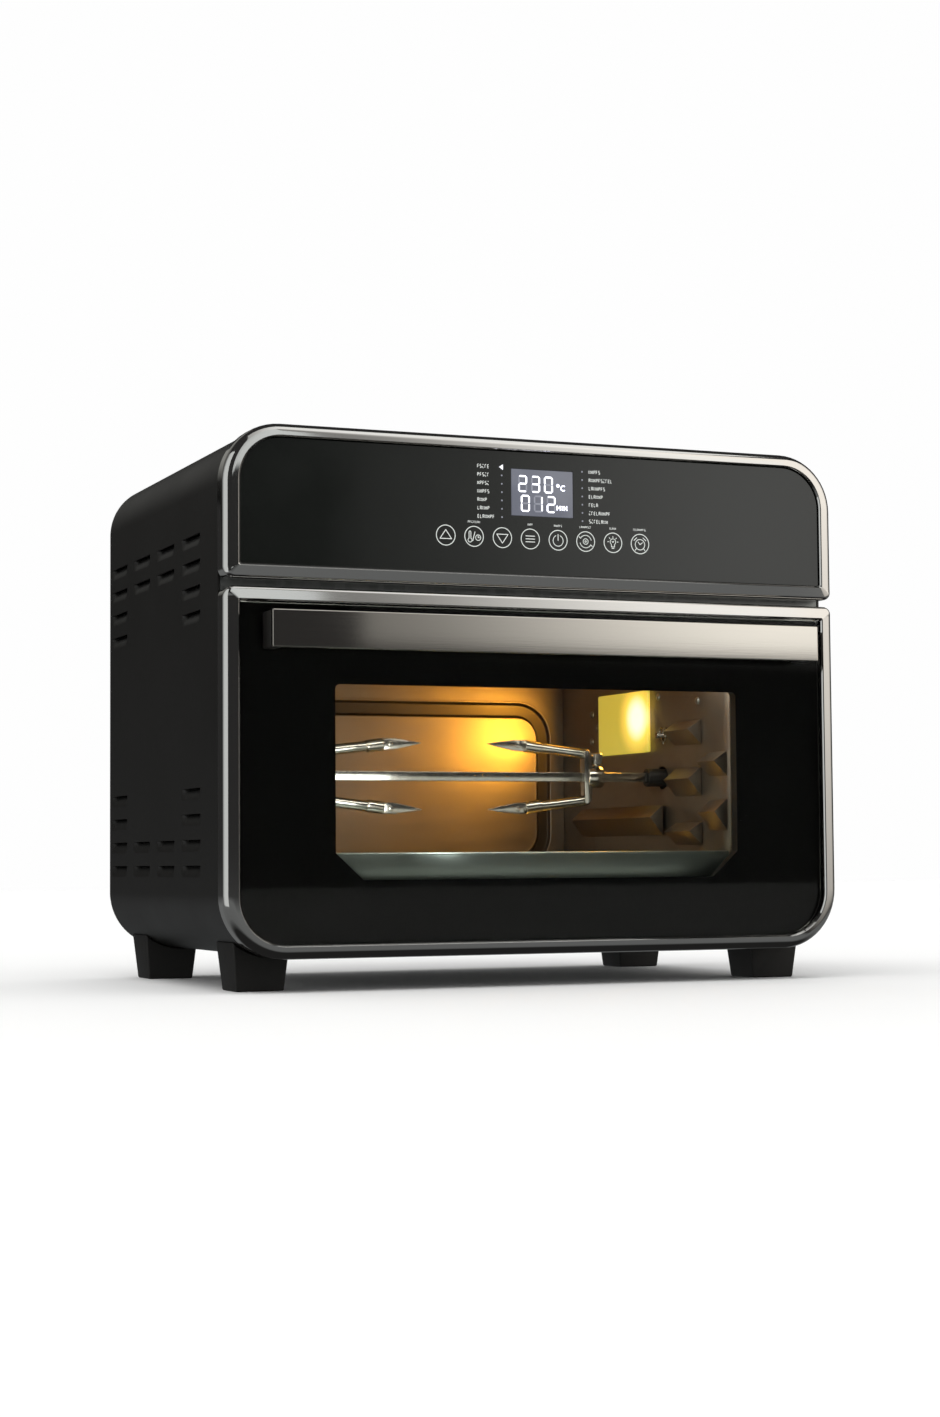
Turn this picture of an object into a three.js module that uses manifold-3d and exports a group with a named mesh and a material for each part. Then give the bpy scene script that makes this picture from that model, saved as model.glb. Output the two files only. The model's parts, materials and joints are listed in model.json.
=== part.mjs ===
// Countertop air-fryer toaster oven, in millimetres, +Z up.
//
// The group's origin is on the table, under the middle of the bounding box. The
// door and the control panel face -Y, and +X is to the right as you face them.
// Inside this file y is measured back from the front face of the door glass, and
// the last line of the model shifts everything to the origin.

import * as THREE from 'three';
import { mergeVertices } from 'three/addons/utils/BufferGeometryUtils.js';
import Module from 'manifold-3d';

const wasm = await Module();
wasm.setup();

// ---------------------------------------------------------------- driving sizes

const WIDTH = 410; // across the two front frames
const HEIGHT = 336.5; // table to the top of the control bezel
const BODY_DEPTH = 268; // door glass to the back edge of the housing
const FOOT_HEIGHT = 19.5; // table to the underside of the door frame

const CLEAR = 0.3; // gap between pieces that touch
const SHEET = 1.2; // painted steel sheet
const LINER = 0.8; // cavity sheet

const CONTROL_HEIGHT = 93.5; // control bezel, bottom to top
const FRAME_GAP = 4.3; // between control bezel and door frame
const FRAME_PROUD = 2.5; // frames stand in front of the glass
const FRAME_DEPTH = 14; // frames, front to back
const FRAME_SIDE = 9.8; // upright members, seen from the front
const FRAME_LEVEL = 8.6; // level members, seen from the front
const FRAME_ROUND = 6.4; // rounded outer front edge, just under the gap corners' radius
const TOP_RADIUS = 36;
const BOTTOM_RADIUS = 38;
const GAP_RADIUS = 7; // small corners on each side of the gap
const SEAT_WIDTH = 8; // flange behind the glass
const SEAT = 1.5; // its thickness
const GLASS = 4;

const HOUSING_SETBACK = 3.5; // housing wrap behind the frames
const DOOR_GAP = 2; // door panel ahead of the housing wrap
const HOUSING_INSET = 1.2; // housing inside the outline of the frames
const UNDER_LIP = 48; // housing's underside lip, from the overall width
const REAR_RECESS = 5; // rear cover inside the back edge

const LOUVRE_LENGTH = 42;
const LOUVRE_SLIT = 3;
const LOUVRE_PITCH = 15.6; // from row to row
const LOUVRE_FRONT = 57; // first column behind the housing's front edge
const LOUVRE_REAR = 25; // last column ahead of its back edge
const LOUVRE_TOP = 59.3; // upper group below the top
const LOUVRE_BOTTOM = 54.3; // lower group above the bottom

const HANDLE_REACH = 21.3; // bar face ahead of the glass
const HANDLE_THICK = 4;
const HANDLE_TALL = 22.3;
const HANDLE_DROP = 15.1; // bar top below the door's top edge
const HANDLE_INSET = 23.5; // bar end inside the door's side
const POST_WIDTH = 8;

const WINDOW_INSET = 70.2; // window side from the door's side
const WINDOW_DROP = 56.5; // window top below the door's top
const WINDOW_RISE = 46.2; // window bottom above the door's bottom
const WINDOW_CHAMFER = 16.1; // height of its cut lower corners

const DISPLAY_WIDTH = 41.5;
const DISPLAY_HEIGHT = 28.7;
const DISPLAY_DROP = 33.85; // middle of the display below the top

const FOOT_SOLE = 29.5;
const FOOT_TOP = 37.5;
const FOOT_INSET = 31.5; // foot middle inside the overall width
const FOOT_FRONT = 29; // foot middle behind the housing's front edge
const FOOT_REAR = 30; // foot middle ahead of its back edge

const SIDE_CHAMBER = 67; // cavity mouth to the outside, each side
const CAVITY_DRAFT = 8; // each side narrows by this to the back
const CAVITY_DROP = 16.7; // ceiling below the door's top
const CAVITY_RISE = 38.5; // floor above the underside of the frame
const CAVITY_REAR = 13; // back wall ahead of the housing's back edge
const BACK_WALL = 3.5; // thick enough for its pressed band
const BAND_WIDTH = 11.5;
const BAND_DEEP = 2.5;
const BAND_INSET = 10.7; // band inside the back wall's side
const BAND_DROP = 31.4; // band below the ceiling
const BAND_RADIUS = 26;
const RIDGE_PROUD = 9; // rack supports pressed into the side walls
const MOUTH_FLANGE = 9; // liner's flange round the mouth

const SPIT_Y = 108;
const SPIT_BELOW = 8.5; // spit below the middle of the cavity's height
const SPIT = 6; // square bar
const FORK_SPREAD = 20.5; // prong tips off the spit
const FORK_ROOT = 15.6; // ends of the cross bar off the spit, where the prongs start
const FORK_RIGHT_INSET = 60; // right cross bar inside the half mouth
const FORK_LEFT_INSET = 27.5;
const TIP_GAP = 45.1; // between the tips of the two forks
const PRONG = 2.6; // radius

const LAMP_Y = 158.4; // middle of the lamp cover
const LAMP_DROP = 51.4; // middle of the lamp cover below the ceiling
const LAMP_LONG = 71.8;
const LAMP_TALL = 42.2;

const GUARD_CLEAR = 31.1; // fan guard's edge from the mouth and from the back wall
const RING_INSET = 14; // ring heater inside the guard's edge
const FAN_INSET = 34; // fan wheel inside the guard's edge
const PAN_CLEAR = 8; // fan wheel to the wall of its pan
const POST_INSET = 14; // motor posts inside the pan's wall
const SHAFT = 3;

const HINGE_SETBACK = 1; // door pivot behind the housing's front edge
const HINGE_RISE = 3; // door pivot above the door's underside
const HINGE_PIN = 1.5;
const HINGE_INSET = 65; // hinge middle inside the door's side
const HINGE_WIDE = 12;
const ARM_RADIUS = 60; // door arm about the pivot
const ARM_WIDE = 4;
const ARM_THICK = 1.5;
const ARM_INSET = 53.5; // arm inside the door's side
const DOOR_SWING = 82; // degrees
const KNUCKLE = 2.8; // radius of the hinge knuckle
const EAR = 1.6; // thickness of a bracket ear
const LEAF_RISE = 38; // hinge leaf above the pivot
const BASE_SETBACK = 9; // base plate behind the housing's front edge

const VENT_INNER = 45; // rear slots, from the middle
const VENT_OUTER = 145;
const VENT_ROWS = 6;
const VENT_PITCH = 12;
const VENT_TALL = 4;
const VENT_DROP = 55; // first row below the housing's top
const GLAND_NECK = 7;
const GLAND_INSET = 62; // cord gland inside the overall width
const GLAND_RISE = 45; // cord gland above the housing's underside
const CORD_BORE = 3.6;

const HEATER = 3.2; // sheath radius
const HEATER_RISE = 14; // lower heaters above the floor
const HEATER_FRONT = 35; // front heater behind the mouth
const HEATER_REAR = 50; // rear heater ahead of the back wall
const HEATER_LEG = 16; // legs of the ring heater, from the middle
const PROBE = 2; // radius of the temperature probe
const PROBE_Y = 102.6;
const PROBE_REACH = 7; // how far the probe stands into the cavity
const PROBE_ABOVE = 28.5; // probe above the spit
const SOCKET = 6; // radius of the spit's driven socket

const SWITCH_INSET = 30; // door switch inside the overall width
const SWITCH_DROP = 25; // door switch below the door's top
const PLUNGER = 1.6;

// --------------------------------------------------------------- derived planes

const half = WIDTH / 2;
const panelBottom = HEIGHT - CONTROL_HEIGHT;
const doorTop = panelBottom - FRAME_GAP;
const doorBottom = FOOT_HEIGHT;
const frameBack = FRAME_DEPTH - FRAME_PROUD;
const housingFront = frameBack + HOUSING_SETBACK;
const seatFront = GLASS + CLEAR;
const seatBack = seatFront + SEAT;
const doorBack = housingFront - DOOR_GAP;
const chassisFront = housingFront + CLEAR;
const chassisBack = chassisFront + SHEET;
const housingBottom = doorBottom + HOUSING_INSET;
const housingTop = HEIGHT - HOUSING_INSET;
const housingHalf = half - HOUSING_INSET;
const baseBottom = housingBottom + SHEET + CLEAR;
const baseTop = baseBottom + SHEET;
const rearFront = BODY_DEPTH - REAR_RECESS - SHEET;
const baseEdge = housingFront + BASE_SETBACK;
const glandX = -half + GLAND_INSET;
const glandZ = housingBottom + GLAND_RISE;

const mouthHalf = half - SIDE_CHAMBER;
const mouthFront = chassisBack + CLEAR;
const cavityBack = BODY_DEPTH - CAVITY_REAR;
const ceiling = doorTop - CAVITY_DROP;
const floorZ = doorBottom + CAVITY_RISE;
const roof = ceiling + LINER; // outside of the cavity's ceiling
const cavityTall = ceiling - floorZ;
const spitZ = floorZ + cavityTall / 2 - SPIT_BELOW;
const lampZ = ceiling - LAMP_DROP;
const lampHalf = LAMP_LONG / 2;
const lampTall = LAMP_TALL / 2;
const probeZ = spitZ + PROBE_ABOVE;

const cavityDeep = cavityBack - mouthFront;
const fanY = mouthFront + cavityDeep / 2;
const guardRadius = cavityDeep / 2 - GUARD_CLEAR;
const ringRadius = guardRadius - RING_INSET;
const fanRadius = guardRadius - FAN_INSET;
const legY = Math.sqrt(ringRadius ** 2 - HEATER_LEG ** 2);
const frontHeaterY = mouthFront + HEATER_FRONT;
const rearHeaterY = cavityBack - HEATER_REAR;

const hingeY = housingFront + HINGE_SETBACK;
const hingeZ = doorBottom + HINGE_RISE;
const hingeX = half - HINGE_INSET;
const armX = half - ARM_INSET;
const leafFront = doorBack + CLEAR;
const leafBack = leafFront + SHEET;
const pinHole = HINGE_PIN + CLEAR;
const chassisBottom = hingeZ + 6.5;
const switchX = half - SWITCH_INSET;
const switchZ = doorTop - SWITCH_DROP;
const windowHalf = half - WINDOW_INSET;
const windowTop = doorTop - WINDOW_DROP;
const windowBottom = doorBottom + WINDOW_RISE;

// ---------------------------------------------------------------------- helpers

/** A closed three.js geometry as a solid that can be cut and joined. */
function solid(geometry) {
  geometry.deleteAttribute('normal');
  geometry.deleteAttribute('uv');
  const merged = mergeVertices(geometry);
  const vertProperties = new Float32Array(merged.getAttribute('position').array);
  const triVerts = new Uint32Array(merged.getIndex().array);
  return new wasm.Manifold(new wasm.Mesh({ numProp: 3, vertProperties, triVerts }));
}

const join = (first, ...rest) => rest.reduce((sum, next) => sum.add(next), first);
const cut = (first, ...rest) => rest.reduce((sum, next) => sum.subtract(next), first);

/** A box between two values on each axis, given in either order. */
function box([xa, xb], [ya, yb], [za, zb]) {
  const size = [Math.abs(xb - xa), Math.abs(yb - ya), Math.abs(zb - za)];
  const geometry = new THREE.BoxGeometry(...size);
  return solid(geometry.translate((xa + xb) / 2, (ya + yb) / 2, (za + zb) / 2));
}

/** A round bar or cone from one point to another. */
function rod(from, to, radius, endRadius = radius, sides = 16) {
  const start = new THREE.Vector3(...from);
  const end = new THREE.Vector3(...to);
  const along = end.clone().sub(start);
  const geometry = new THREE.CylinderGeometry(endRadius, radius, along.length(), sides);
  const up = new THREE.Vector3(0, 1, 0);
  const turn = new THREE.Quaternion().setFromUnitVectors(up, along.clone().normalize());
  geometry.applyQuaternion(turn);
  const middle = start.add(end).multiplyScalar(0.5);
  return solid(geometry.translate(middle.x, middle.y, middle.z));
}

const EXTRUDE = { bevelEnabled: false, curveSegments: 4 };

/** A shape drawn in x and z, extruded from y = front to y = back. */
function slabY(shape, front, back, options = {}) {
  const settings = { ...EXTRUDE, depth: back - front, ...options };
  const geometry = new THREE.ExtrudeGeometry(shape, settings);
  return solid(geometry.rotateX(Math.PI / 2).translate(0, back, 0));
}

/** A shape drawn in y and z, extruded from x = left to x = right. */
function slabX(shape, left, right) {
  const [low, high] = left < right ? [left, right] : [right, left];
  const geometry = new THREE.ExtrudeGeometry(shape, { ...EXTRUDE, depth: high - low });
  const turn = new THREE.Matrix4().set(0, 0, 1, low, 1, 0, 0, 0, 0, 1, 0, 0, 0, 0, 0, 1);
  return solid(geometry.applyMatrix4(turn));
}

/** A shape drawn in x and y, extruded from z = low to z = high. */
function slabZ(shape, low, high) {
  const geometry = new THREE.ExtrudeGeometry(shape, { ...EXTRUDE, depth: high - low });
  return solid(geometry.translate(0, 0, low));
}

/** A shape through straight points. */
function polygon(points) {
  return new THREE.Shape(points.map(([a, b]) => new THREE.Vector2(a, b)));
}

/** A rectangle with one radius for its two lower corners and one for its upper ones. */
function roundRect(left, right, low, high, lowRadius, highRadius) {
  const quarter = Math.PI / 2;
  const shape = new THREE.Shape();
  shape.absarc(right - lowRadius, low + lowRadius, lowRadius, -quarter, 0);
  shape.absarc(right - highRadius, high - highRadius, highRadius, 0, quarter);
  shape.absarc(left + highRadius, high - highRadius, highRadius, quarter, 2 * quarter);
  shape.absarc(left + lowRadius, low + lowRadius, lowRadius, 2 * quarter, 3 * quarter);
  shape.closePath();
  return shape;
}

/** A body of revolution about the vertical line through (x, y). */
function turned(profile, x, y, sides = 32) {
  const points = profile.map(([r, z]) => new THREE.Vector2(r, z));
  const geometry = new THREE.LatheGeometry(points, sides);
  return solid(geometry.rotateX(Math.PI / 2).translate(x, y, 0));
}

const FINISHES = {
  blackSteel: { color: 0x201e1b, roughness: 0.5, metalness: 0.3 },
  polishedSteel: { color: 0xb9b4aa, roughness: 0.16, metalness: 1 },
  brushedSteel: { color: 0xa8a298, roughness: 0.32, metalness: 1 },
  plainSteel: { color: 0x8f8d88, roughness: 0.45, metalness: 1 },
  blackGlass: { color: 0x0b0c0b, roughness: 0.08, metalness: 0 },
  clearGlass: { color: 0x2a2c2b, roughness: 0.05, metalness: 0 },
  display: { color: 0x5b5d66, roughness: 0.2, metalness: 0 },
  blackPlastic: { color: 0x141310, roughness: 0.6, metalness: 0 },
  board: { color: 0x1f4a2d, roughness: 0.6, metalness: 0 },
  enamel: { color: 0x5a4d3f, roughness: 0.35, metalness: 0.6 },
  heater: { color: 0x3a3734, roughness: 0.6, metalness: 0.7 },
  ceramic: { color: 0xe6e0d2, roughness: 0.5, metalness: 0 },
  lampGlass: { color: 0xffd27a, roughness: 0.2, metalness: 0 },
  motorCan: { color: 0x9a9b98, roughness: 0.4, metalness: 0.9 },
};

const model = new THREE.Group();

/** Adds one finished solid to the model as a named mesh. */
function add(name, manifold, finish) {
  const { vertProperties, triVerts } = manifold.getMesh();
  const geometry = new THREE.BufferGeometry();
  geometry.setAttribute('position', new THREE.BufferAttribute(vertProperties, 3));
  geometry.setIndex(new THREE.BufferAttribute(triVerts, 1));
  geometry.computeVertexNormals();
  const mesh = new THREE.Mesh(geometry, new THREE.MeshStandardMaterial(FINISHES[finish]));
  mesh.name = name;
  model.add(mesh);
  return mesh;
}

const SIDES = [['left', -1], ['right', 1]];

// ----------------------------------------------------------------- front frames

/** An outline inside the frames' outer one, with its corner radii kept parallel. */
function frameOutline(low, high, lowRadius, highRadius, side, level) {
  const lower = Math.max(lowRadius - side, 2);
  const upper = Math.max(highRadius - side, 2);
  return roundRect(-half + side, half - side, low + level, high - level, lower, upper);
}

/** One polished frame with a rounded front edge and a seat behind its glass. */
function frontFrame(low, high, lowRadius, highRadius) {
  const outline = frameOutline(low, high, lowRadius, highRadius, 0, 0);
  const rounding = {
    bevelEnabled: true,
    bevelThickness: FRAME_ROUND,
    bevelSize: FRAME_ROUND,
    bevelOffset: -FRAME_ROUND,
    bevelSegments: 4,
  };
  const straightFront = -FRAME_PROUD + FRAME_ROUND;
  const block = slabY(outline, straightFront, frameBack + FRAME_ROUND, rounding);
  const rear = box([-WIDTH, WIDTH], [frameBack, frameBack + BODY_DEPTH], [0, 2 * HEIGHT]);
  const opening = frameOutline(low, high, lowRadius, highRadius, FRAME_SIDE, FRAME_LEVEL);
  const seated = frameOutline(
    low, high, lowRadius, highRadius, FRAME_SIDE + SEAT_WIDTH, FRAME_LEVEL + SEAT_WIDTH);
  const through = slabY(seated, -FRAME_DEPTH, 2 * FRAME_DEPTH);
  const glassPocket = slabY(opening, -FRAME_DEPTH, seatFront);
  const rearPocket = slabY(opening, seatBack, 2 * FRAME_DEPTH);
  return cut(block, rear, through, glassPocket, rearPocket);
}

/** A pane that lies in a frame's opening. */
function pane(low, high, lowRadius, highRadius) {
  const side = FRAME_SIDE + CLEAR;
  const level = FRAME_LEVEL + CLEAR;
  return slabY(frameOutline(low, high, lowRadius, highRadius, side, level), 0, GLASS);
}

add('control_bezel', frontFrame(panelBottom, HEIGHT, GAP_RADIUS, TOP_RADIUS), 'polishedSteel');
add('door_frame', frontFrame(doorBottom, doorTop, BOTTOM_RADIUS, GAP_RADIUS), 'polishedSteel');

// ---------------------------------------------------------------- control panel

const displayZ = HEIGHT - DISPLAY_DROP;
const boardFront = seatFront + CLEAR;
const BOARD = 1.6;
const BOARD_HALF = 92;
const BOARD_INSET = 19; // touch board inside the bezel, top and bottom

/** The rectangle that the display fills, grown by a margin. */
function displayBlock(margin, front, back) {
  const wide = DISPLAY_WIDTH / 2 + margin;
  const tall = DISPLAY_HEIGHT / 2 + margin;
  return box([-wide, wide], [front, back], [displayZ - tall, displayZ + tall]);
}

const controlPane = pane(panelBottom, HEIGHT, GAP_RADIUS, TOP_RADIUS);
add('control_glass', cut(controlPane, displayBlock(CLEAR, -1, GLASS + 1)), 'blackGlass');
add('display_window', displayBlock(0, 0.1, GLASS), 'display');

/** Touch board with its row of sensor pads' controller chips on the back. */
function touchBoard() {
  const low = panelBottom + BOARD_INSET;
  const high = HEIGHT - BOARD_INSET;
  const back = boardFront + BOARD;
  const board = box([-BOARD_HALF, BOARD_HALF], [boardFront, back], [low, high]);
  const chip = box([-9, 9], [back - 0.5, back + 2], [low + 6, low + 24]);
  const plug = box([40, 62], [back - 0.5, back + 4], [high - 16, high - 8]);
  return join(board, chip, plug);
}

add('touch_board', touchBoard(), 'board');

/** Moulded carrier behind the bezel, which closes the gap to the housing. */
function controlCarrier() {
  const shape = (inset) => frameOutline(panelBottom, HEIGHT, GAP_RADIUS, TOP_RADIUS, inset, inset);
  const outer = slabY(shape(3.4), frameBack + CLEAR, housingFront);
  return cut(outer, slabY(shape(FRAME_SIDE + SEAT_WIDTH), frameBack, housingFront + 1));
}

add('control_carrier', controlCarrier(), 'blackPlastic');

// ------------------------------------------------------------------------- door

/** The window's outline, with its lower corners cut off, grown by a margin. */
function windowShape(margin) {
  const side = windowHalf + margin;
  const low = windowBottom - margin;
  const shoulder = windowBottom + WINDOW_CHAMFER;
  const foot = windowHalf - 1.08 * WINDOW_CHAMFER + margin;
  const top = windowTop + margin;
  return polygon([
    [-foot, low], [foot, low], [side, shoulder], [side, top], [-side, top], [-side, shoulder],
  ]);
}

/** Pressed inner panel of the door: flat towards the oven, rims towards the glass. */
function doorInnerPanel() {
  const outline = (extra) => {
    const margin = SEAT_WIDTH + CLEAR + extra;
    const [side, level] = [FRAME_SIDE + margin, FRAME_LEVEL + margin];
    return frameOutline(doorBottom, doorTop, BOTTOM_RADIUS, GAP_RADIUS, side, level);
  };
  const rimFront = seatFront;
  const block = slabY(outline(0), rimFront, doorBack);
  const hollow = slabY(outline(SHEET), rimFront - 1, doorBack - SHEET);
  const wall = slabY(windowShape(1 + SHEET), rimFront, doorBack);
  const view = slabY(windowShape(1), rimFront - 1, doorBack + 1);
  return cut(join(cut(block, hollow), wall), view);
}

add('door_glass', pane(doorBottom, doorTop, BOTTOM_RADIUS, GAP_RADIUS), 'clearGlass');
add('door_inner_panel', doorInnerPanel(), 'blackSteel');

const handleHalf = half - HANDLE_INSET;
const handleTop = doorTop - HANDLE_DROP;
const handleLow = handleTop - HANDLE_TALL;
const barBack = -HANDLE_REACH + HANDLE_THICK;

add(
  'handle_bar',
  box([-handleHalf, handleHalf], [-HANDLE_REACH, barBack], [handleLow, handleTop]),
  'brushedSteel');

for (const [name, side] of SIDES) {
  const span = [side * (handleHalf - POST_WIDTH), side * (handleHalf - CLEAR)];
  const post = box(span, [barBack + CLEAR, -CLEAR], [handleLow + CLEAR, handleTop - CLEAR]);
  add(`handle_post_${name}`, post, 'blackPlastic');
}

// ------------------------------------------------------------ door hinge and arm

/** Leaf on the back of the door with the knuckle that the pin goes through. */
function hingeLeaf(side) {
  const near = side * (hingeX - HINGE_WIDE / 2);
  const far = side * (hingeX + HINGE_WIDE / 2);
  const leaf = box([near, far], [leafFront, leafBack], [hingeZ, hingeZ + LEAF_RISE]);
  const knuckle = rod([near, hingeY, hingeZ], [far, hingeY, hingeZ], KNUCKLE);
  const hole = rod([near - side, hingeY, hingeZ], [far + side, hingeY, hingeZ], pinHole);
  return cut(join(leaf, knuckle), hole);
}

/** Bracket with two ears that hold the pin, on the front edge of the base. */
function hingeBracket(side) {
  const front = hingeY - KNUCKLE + 0.2;
  const low = hingeZ - KNUCKLE;
  const high = chassisBottom + 1;
  const baseFront = baseEdge - CLEAR;
  const seat = baseTop + CLEAR;
  const back = baseEdge + 16;
  const ear = polygon([
    [front, low], [baseFront, low], [baseFront, seat], [back, seat], [back, seat + SHEET],
    [chassisBack + 2, high], [chassisFront - 1.6, high], [front, hingeZ + KNUCKLE],
  ]);
  const inner = hingeX - HINGE_WIDE / 2 - CLEAR;
  const outer = hingeX + HINGE_WIDE / 2 + CLEAR;
  const innerEar = slabX(ear, side * (inner - EAR), side * inner);
  const outerEar = slabX(ear, side * outer, side * (outer + EAR));
  const span = [side * (inner - EAR), side * (outer + EAR)];
  const foot = box(span, [baseEdge + 3, back], [seat, seat + SHEET]);
  const ends = [side * (inner - 5), side * (outer + 5)];
  const hole = rod([ends[0], hingeY, hingeZ], [ends[1], hingeY, hingeZ], pinHole);
  const slot = [chassisFront - CLEAR, chassisBack + CLEAR];
  const plate = box([-WIDTH, WIDTH], slot, [chassisBottom - CLEAR, HEIGHT]);
  return cut(join(innerEar, outerEar, foot), hole, plate);
}

/** Pin with a head on its inner end. */
function hingePin(side) {
  const inner = hingeX - HINGE_WIDE / 2 - EAR - 2 * CLEAR;
  const outer = hingeX + HINGE_WIDE / 2 + EAR + 2 * CLEAR;
  const head = inner - 1.5;
  const at = (x) => [side * x, hingeY, hingeZ];
  const pin = rod(at(head + 0.5), at(outer + 1), HINGE_PIN);
  return join(pin, rod(at(head), at(inner), HINGE_PIN + 1));
}

/** Arc-shaped arm that slides through a slot as the door swings. */
function doorArm(side) {
  const degrees = Math.PI / 180;
  const first = (90 + 2) * degrees;
  const last = (90 - DOOR_SWING - 4) * degrees;
  const arc = new THREE.Shape();
  arc.absarc(hingeY, hingeZ, ARM_RADIUS + ARM_WIDE / 2, first, last, true);
  arc.absarc(hingeY, hingeZ, ARM_RADIUS - ARM_WIDE / 2, last, first, false);
  arc.closePath();
  const strip = slabX(arc, side * (armX - ARM_THICK / 2), side * (armX + ARM_THICK / 2));
  const middle = hingeZ + ARM_RADIUS;
  const tabSpan = [side * (armX - 4), side * (armX + 4)];
  return join(strip, box(tabSpan, [leafFront, leafBack], [middle - 7, middle + 7]));
}

for (const [name, side] of SIDES) {
  add(`hinge_leaf_${name}`, hingeLeaf(side), 'plainSteel');
  add(`hinge_bracket_${name}`, hingeBracket(side), 'plainSteel');
  add(`hinge_pin_${name}`, hingePin(side), 'plainSteel');
  add(`door_arm_${name}`, doorArm(side), 'plainSteel');
}

// ---------------------------------------------------------------------- housing

/** The housing's cross section, moved inwards by a distance. */
function housingShape(inward) {
  const low = BOTTOM_RADIUS - HOUSING_INSET - inward;
  const high = TOP_RADIUS - HOUSING_INSET - inward;
  const side = housingHalf - inward;
  return roundRect(-side, side, housingBottom + inward, housingTop - inward, low, high);
}

/** Middle of each louvre on one side, as [y, z] pairs: an arch above, a trough below. */
function louvrePlaces() {
  const firstY = housingFront + LOUVRE_FRONT;
  const step = (BODY_DEPTH - LOUVRE_REAR - firstY) / 3;
  const places = [];
  for (let column = 0; column < 4; column += 1) {
    const rows = column === 0 || column === 3 ? 4 : 2;
    for (let row = 0; row < rows; row += 1) {
      const y = firstY + column * step;
      places.push([y, housingTop - LOUVRE_TOP - row * LOUVRE_PITCH]);
      places.push([y, housingBottom + LOUVRE_BOTTOM + row * LOUVRE_PITCH]);
    }
  }
  return places;
}

/** Steel wrap round the top, the sides and the lower corners, with louvres. */
function housingWrap() {
  const outer = slabY(housingShape(0), housingFront, BODY_DEPTH);
  const inner = slabY(housingShape(SHEET), housingFront - 1, BODY_DEPTH + 1);
  const open = half - UNDER_LIP;
  const below = box([-open, open], [0, BODY_DEPTH + 1], [0, housingBottom + 4]);
  const slits = [];
  for (const [y, z] of louvrePlaces()) {
    const along = [y - LOUVRE_LENGTH / 2, y + LOUVRE_LENGTH / 2];
    slits.push(box([-half, half], along, [z - LOUVRE_SLIT, z]));
  }
  return cut(outer, inner, below, ...slits);
}

/** Flat base that lies on the wrap's two bottom lips. */
function basePlate() {
  const side = half - FRAME_SIDE - 35;
  return box([-side, side], [baseEdge, rearFront - CLEAR], [baseBottom, baseTop]);
}

/** Rear cover with a rim, two vent fields and the hole for the cord gland. */
function rearCover() {
  const back = BODY_DEPTH - 1;
  const block = slabY(housingShape(SHEET + CLEAR), rearFront, back);
  const pan = slabY(housingShape(2 * SHEET + CLEAR), rearFront + SHEET, back + 1);
  const slots = [];
  for (const side of [-1, 1]) {
    for (let row = 0; row < VENT_ROWS; row += 1) {
      const z = housingTop - VENT_DROP - row * VENT_PITCH;
      const across = [side * VENT_INNER, side * VENT_OUTER];
      slots.push(box(across, [rearFront - 1, back], [z, z + VENT_TALL]));
    }
  }
  const at = (y) => [glandX, y, glandZ];
  const gland = rod(at(rearFront - 5), at(BODY_DEPTH), GLAND_NECK + CLEAR);
  return cut(block, pan, gland, ...slots);
}

/** Hollow gland that the supply cord passes through. */
function cordGland() {
  const front = rearFront - 4;
  const back = BODY_DEPTH - 1;
  const at = (y) => [glandX, y, glandZ];
  const neck = rod(at(front), at(back), GLAND_NECK, GLAND_NECK, 20);
  const face = rearFront + SHEET + CLEAR;
  const collar = rod(at(face), at(back), GLAND_NECK + 3, GLAND_NECK + 3, 20);
  return cut(join(neck, collar), rod(at(front - 1), at(back + 1), CORD_BORE));
}

add('housing_wrap', housingWrap(), 'blackSteel');
add('base_plate', basePlate(), 'plainSteel');
add('rear_cover', rearCover(), 'blackSteel');
add('cord_gland', cordGland(), 'blackPlastic');

/** A tapered foot whose top follows the housing's rounded lower corner. */
function foot(x, y) {
  const top = housingBottom + 18;
  const geometry = new THREE.CylinderGeometry(FOOT_TOP / Math.SQRT2, FOOT_SOLE / Math.SQRT2, 1, 4);
  geometry.rotateY(Math.PI / 4).rotateX(Math.PI / 2).translate(0, 0, 0.5);
  geometry.scale(1, 1, top).translate(x, y, 0);
  const body = slabY(housingShape(-CLEAR), 0, BODY_DEPTH);
  return cut(solid(geometry), body);
}

const footX = half - FOOT_INSET;
for (const [name, side] of SIDES) {
  add(`foot_front_${name}`, foot(side * footX, housingFront + FOOT_FRONT), 'blackPlastic');
  add(`foot_rear_${name}`, foot(side * footX, BODY_DEPTH - FOOT_REAR), 'blackPlastic');
}

// ------------------------------------------------------------ chassis and cavity

/** Inside half width of the cavity at a distance back from the glass. */
function wallAt(y) {
  return mouthHalf - (CAVITY_DRAFT * (y - mouthFront)) / (cavityBack - mouthFront);
}

/** Round bar or hole on the door switch's axis. */
function switchHole(radius, front, back) {
  return rod([switchX, front, switchZ], [switchX, back, switchZ], radius);
}

/** Front plate of the chassis, with the oven mouth and the control opening. */
function chassisPlate() {
  const plate = slabY(housingShape(SHEET + CLEAR), chassisFront, chassisBack);
  const through = [chassisFront - 1, chassisBack + 1];
  const below = box([-WIDTH, WIDTH], through, [0, chassisBottom]);
  const mouth = box([-mouthHalf, mouthHalf], through, [floorZ, ceiling]);
  const wiring = box([-half + 55, half - 55], through, [panelBottom + 14, HEIGHT - 16]);
  const armZ = hingeZ + ARM_RADIUS;
  const slots = SIDES.map(([, side]) => {
    const across = [side * (armX - ARM_THICK), side * (armX + ARM_THICK)];
    return box(across, through, [armZ - ARM_WIDE, armZ + ARM_WIDE]);
  });
  const plunger = switchHole(PLUNGER + 2 * CLEAR, ...through);
  return cut(plate, below, mouth, wiring, plunger, ...slots);
}

add('chassis_front', chassisPlate(), 'plainSteel');

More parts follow.
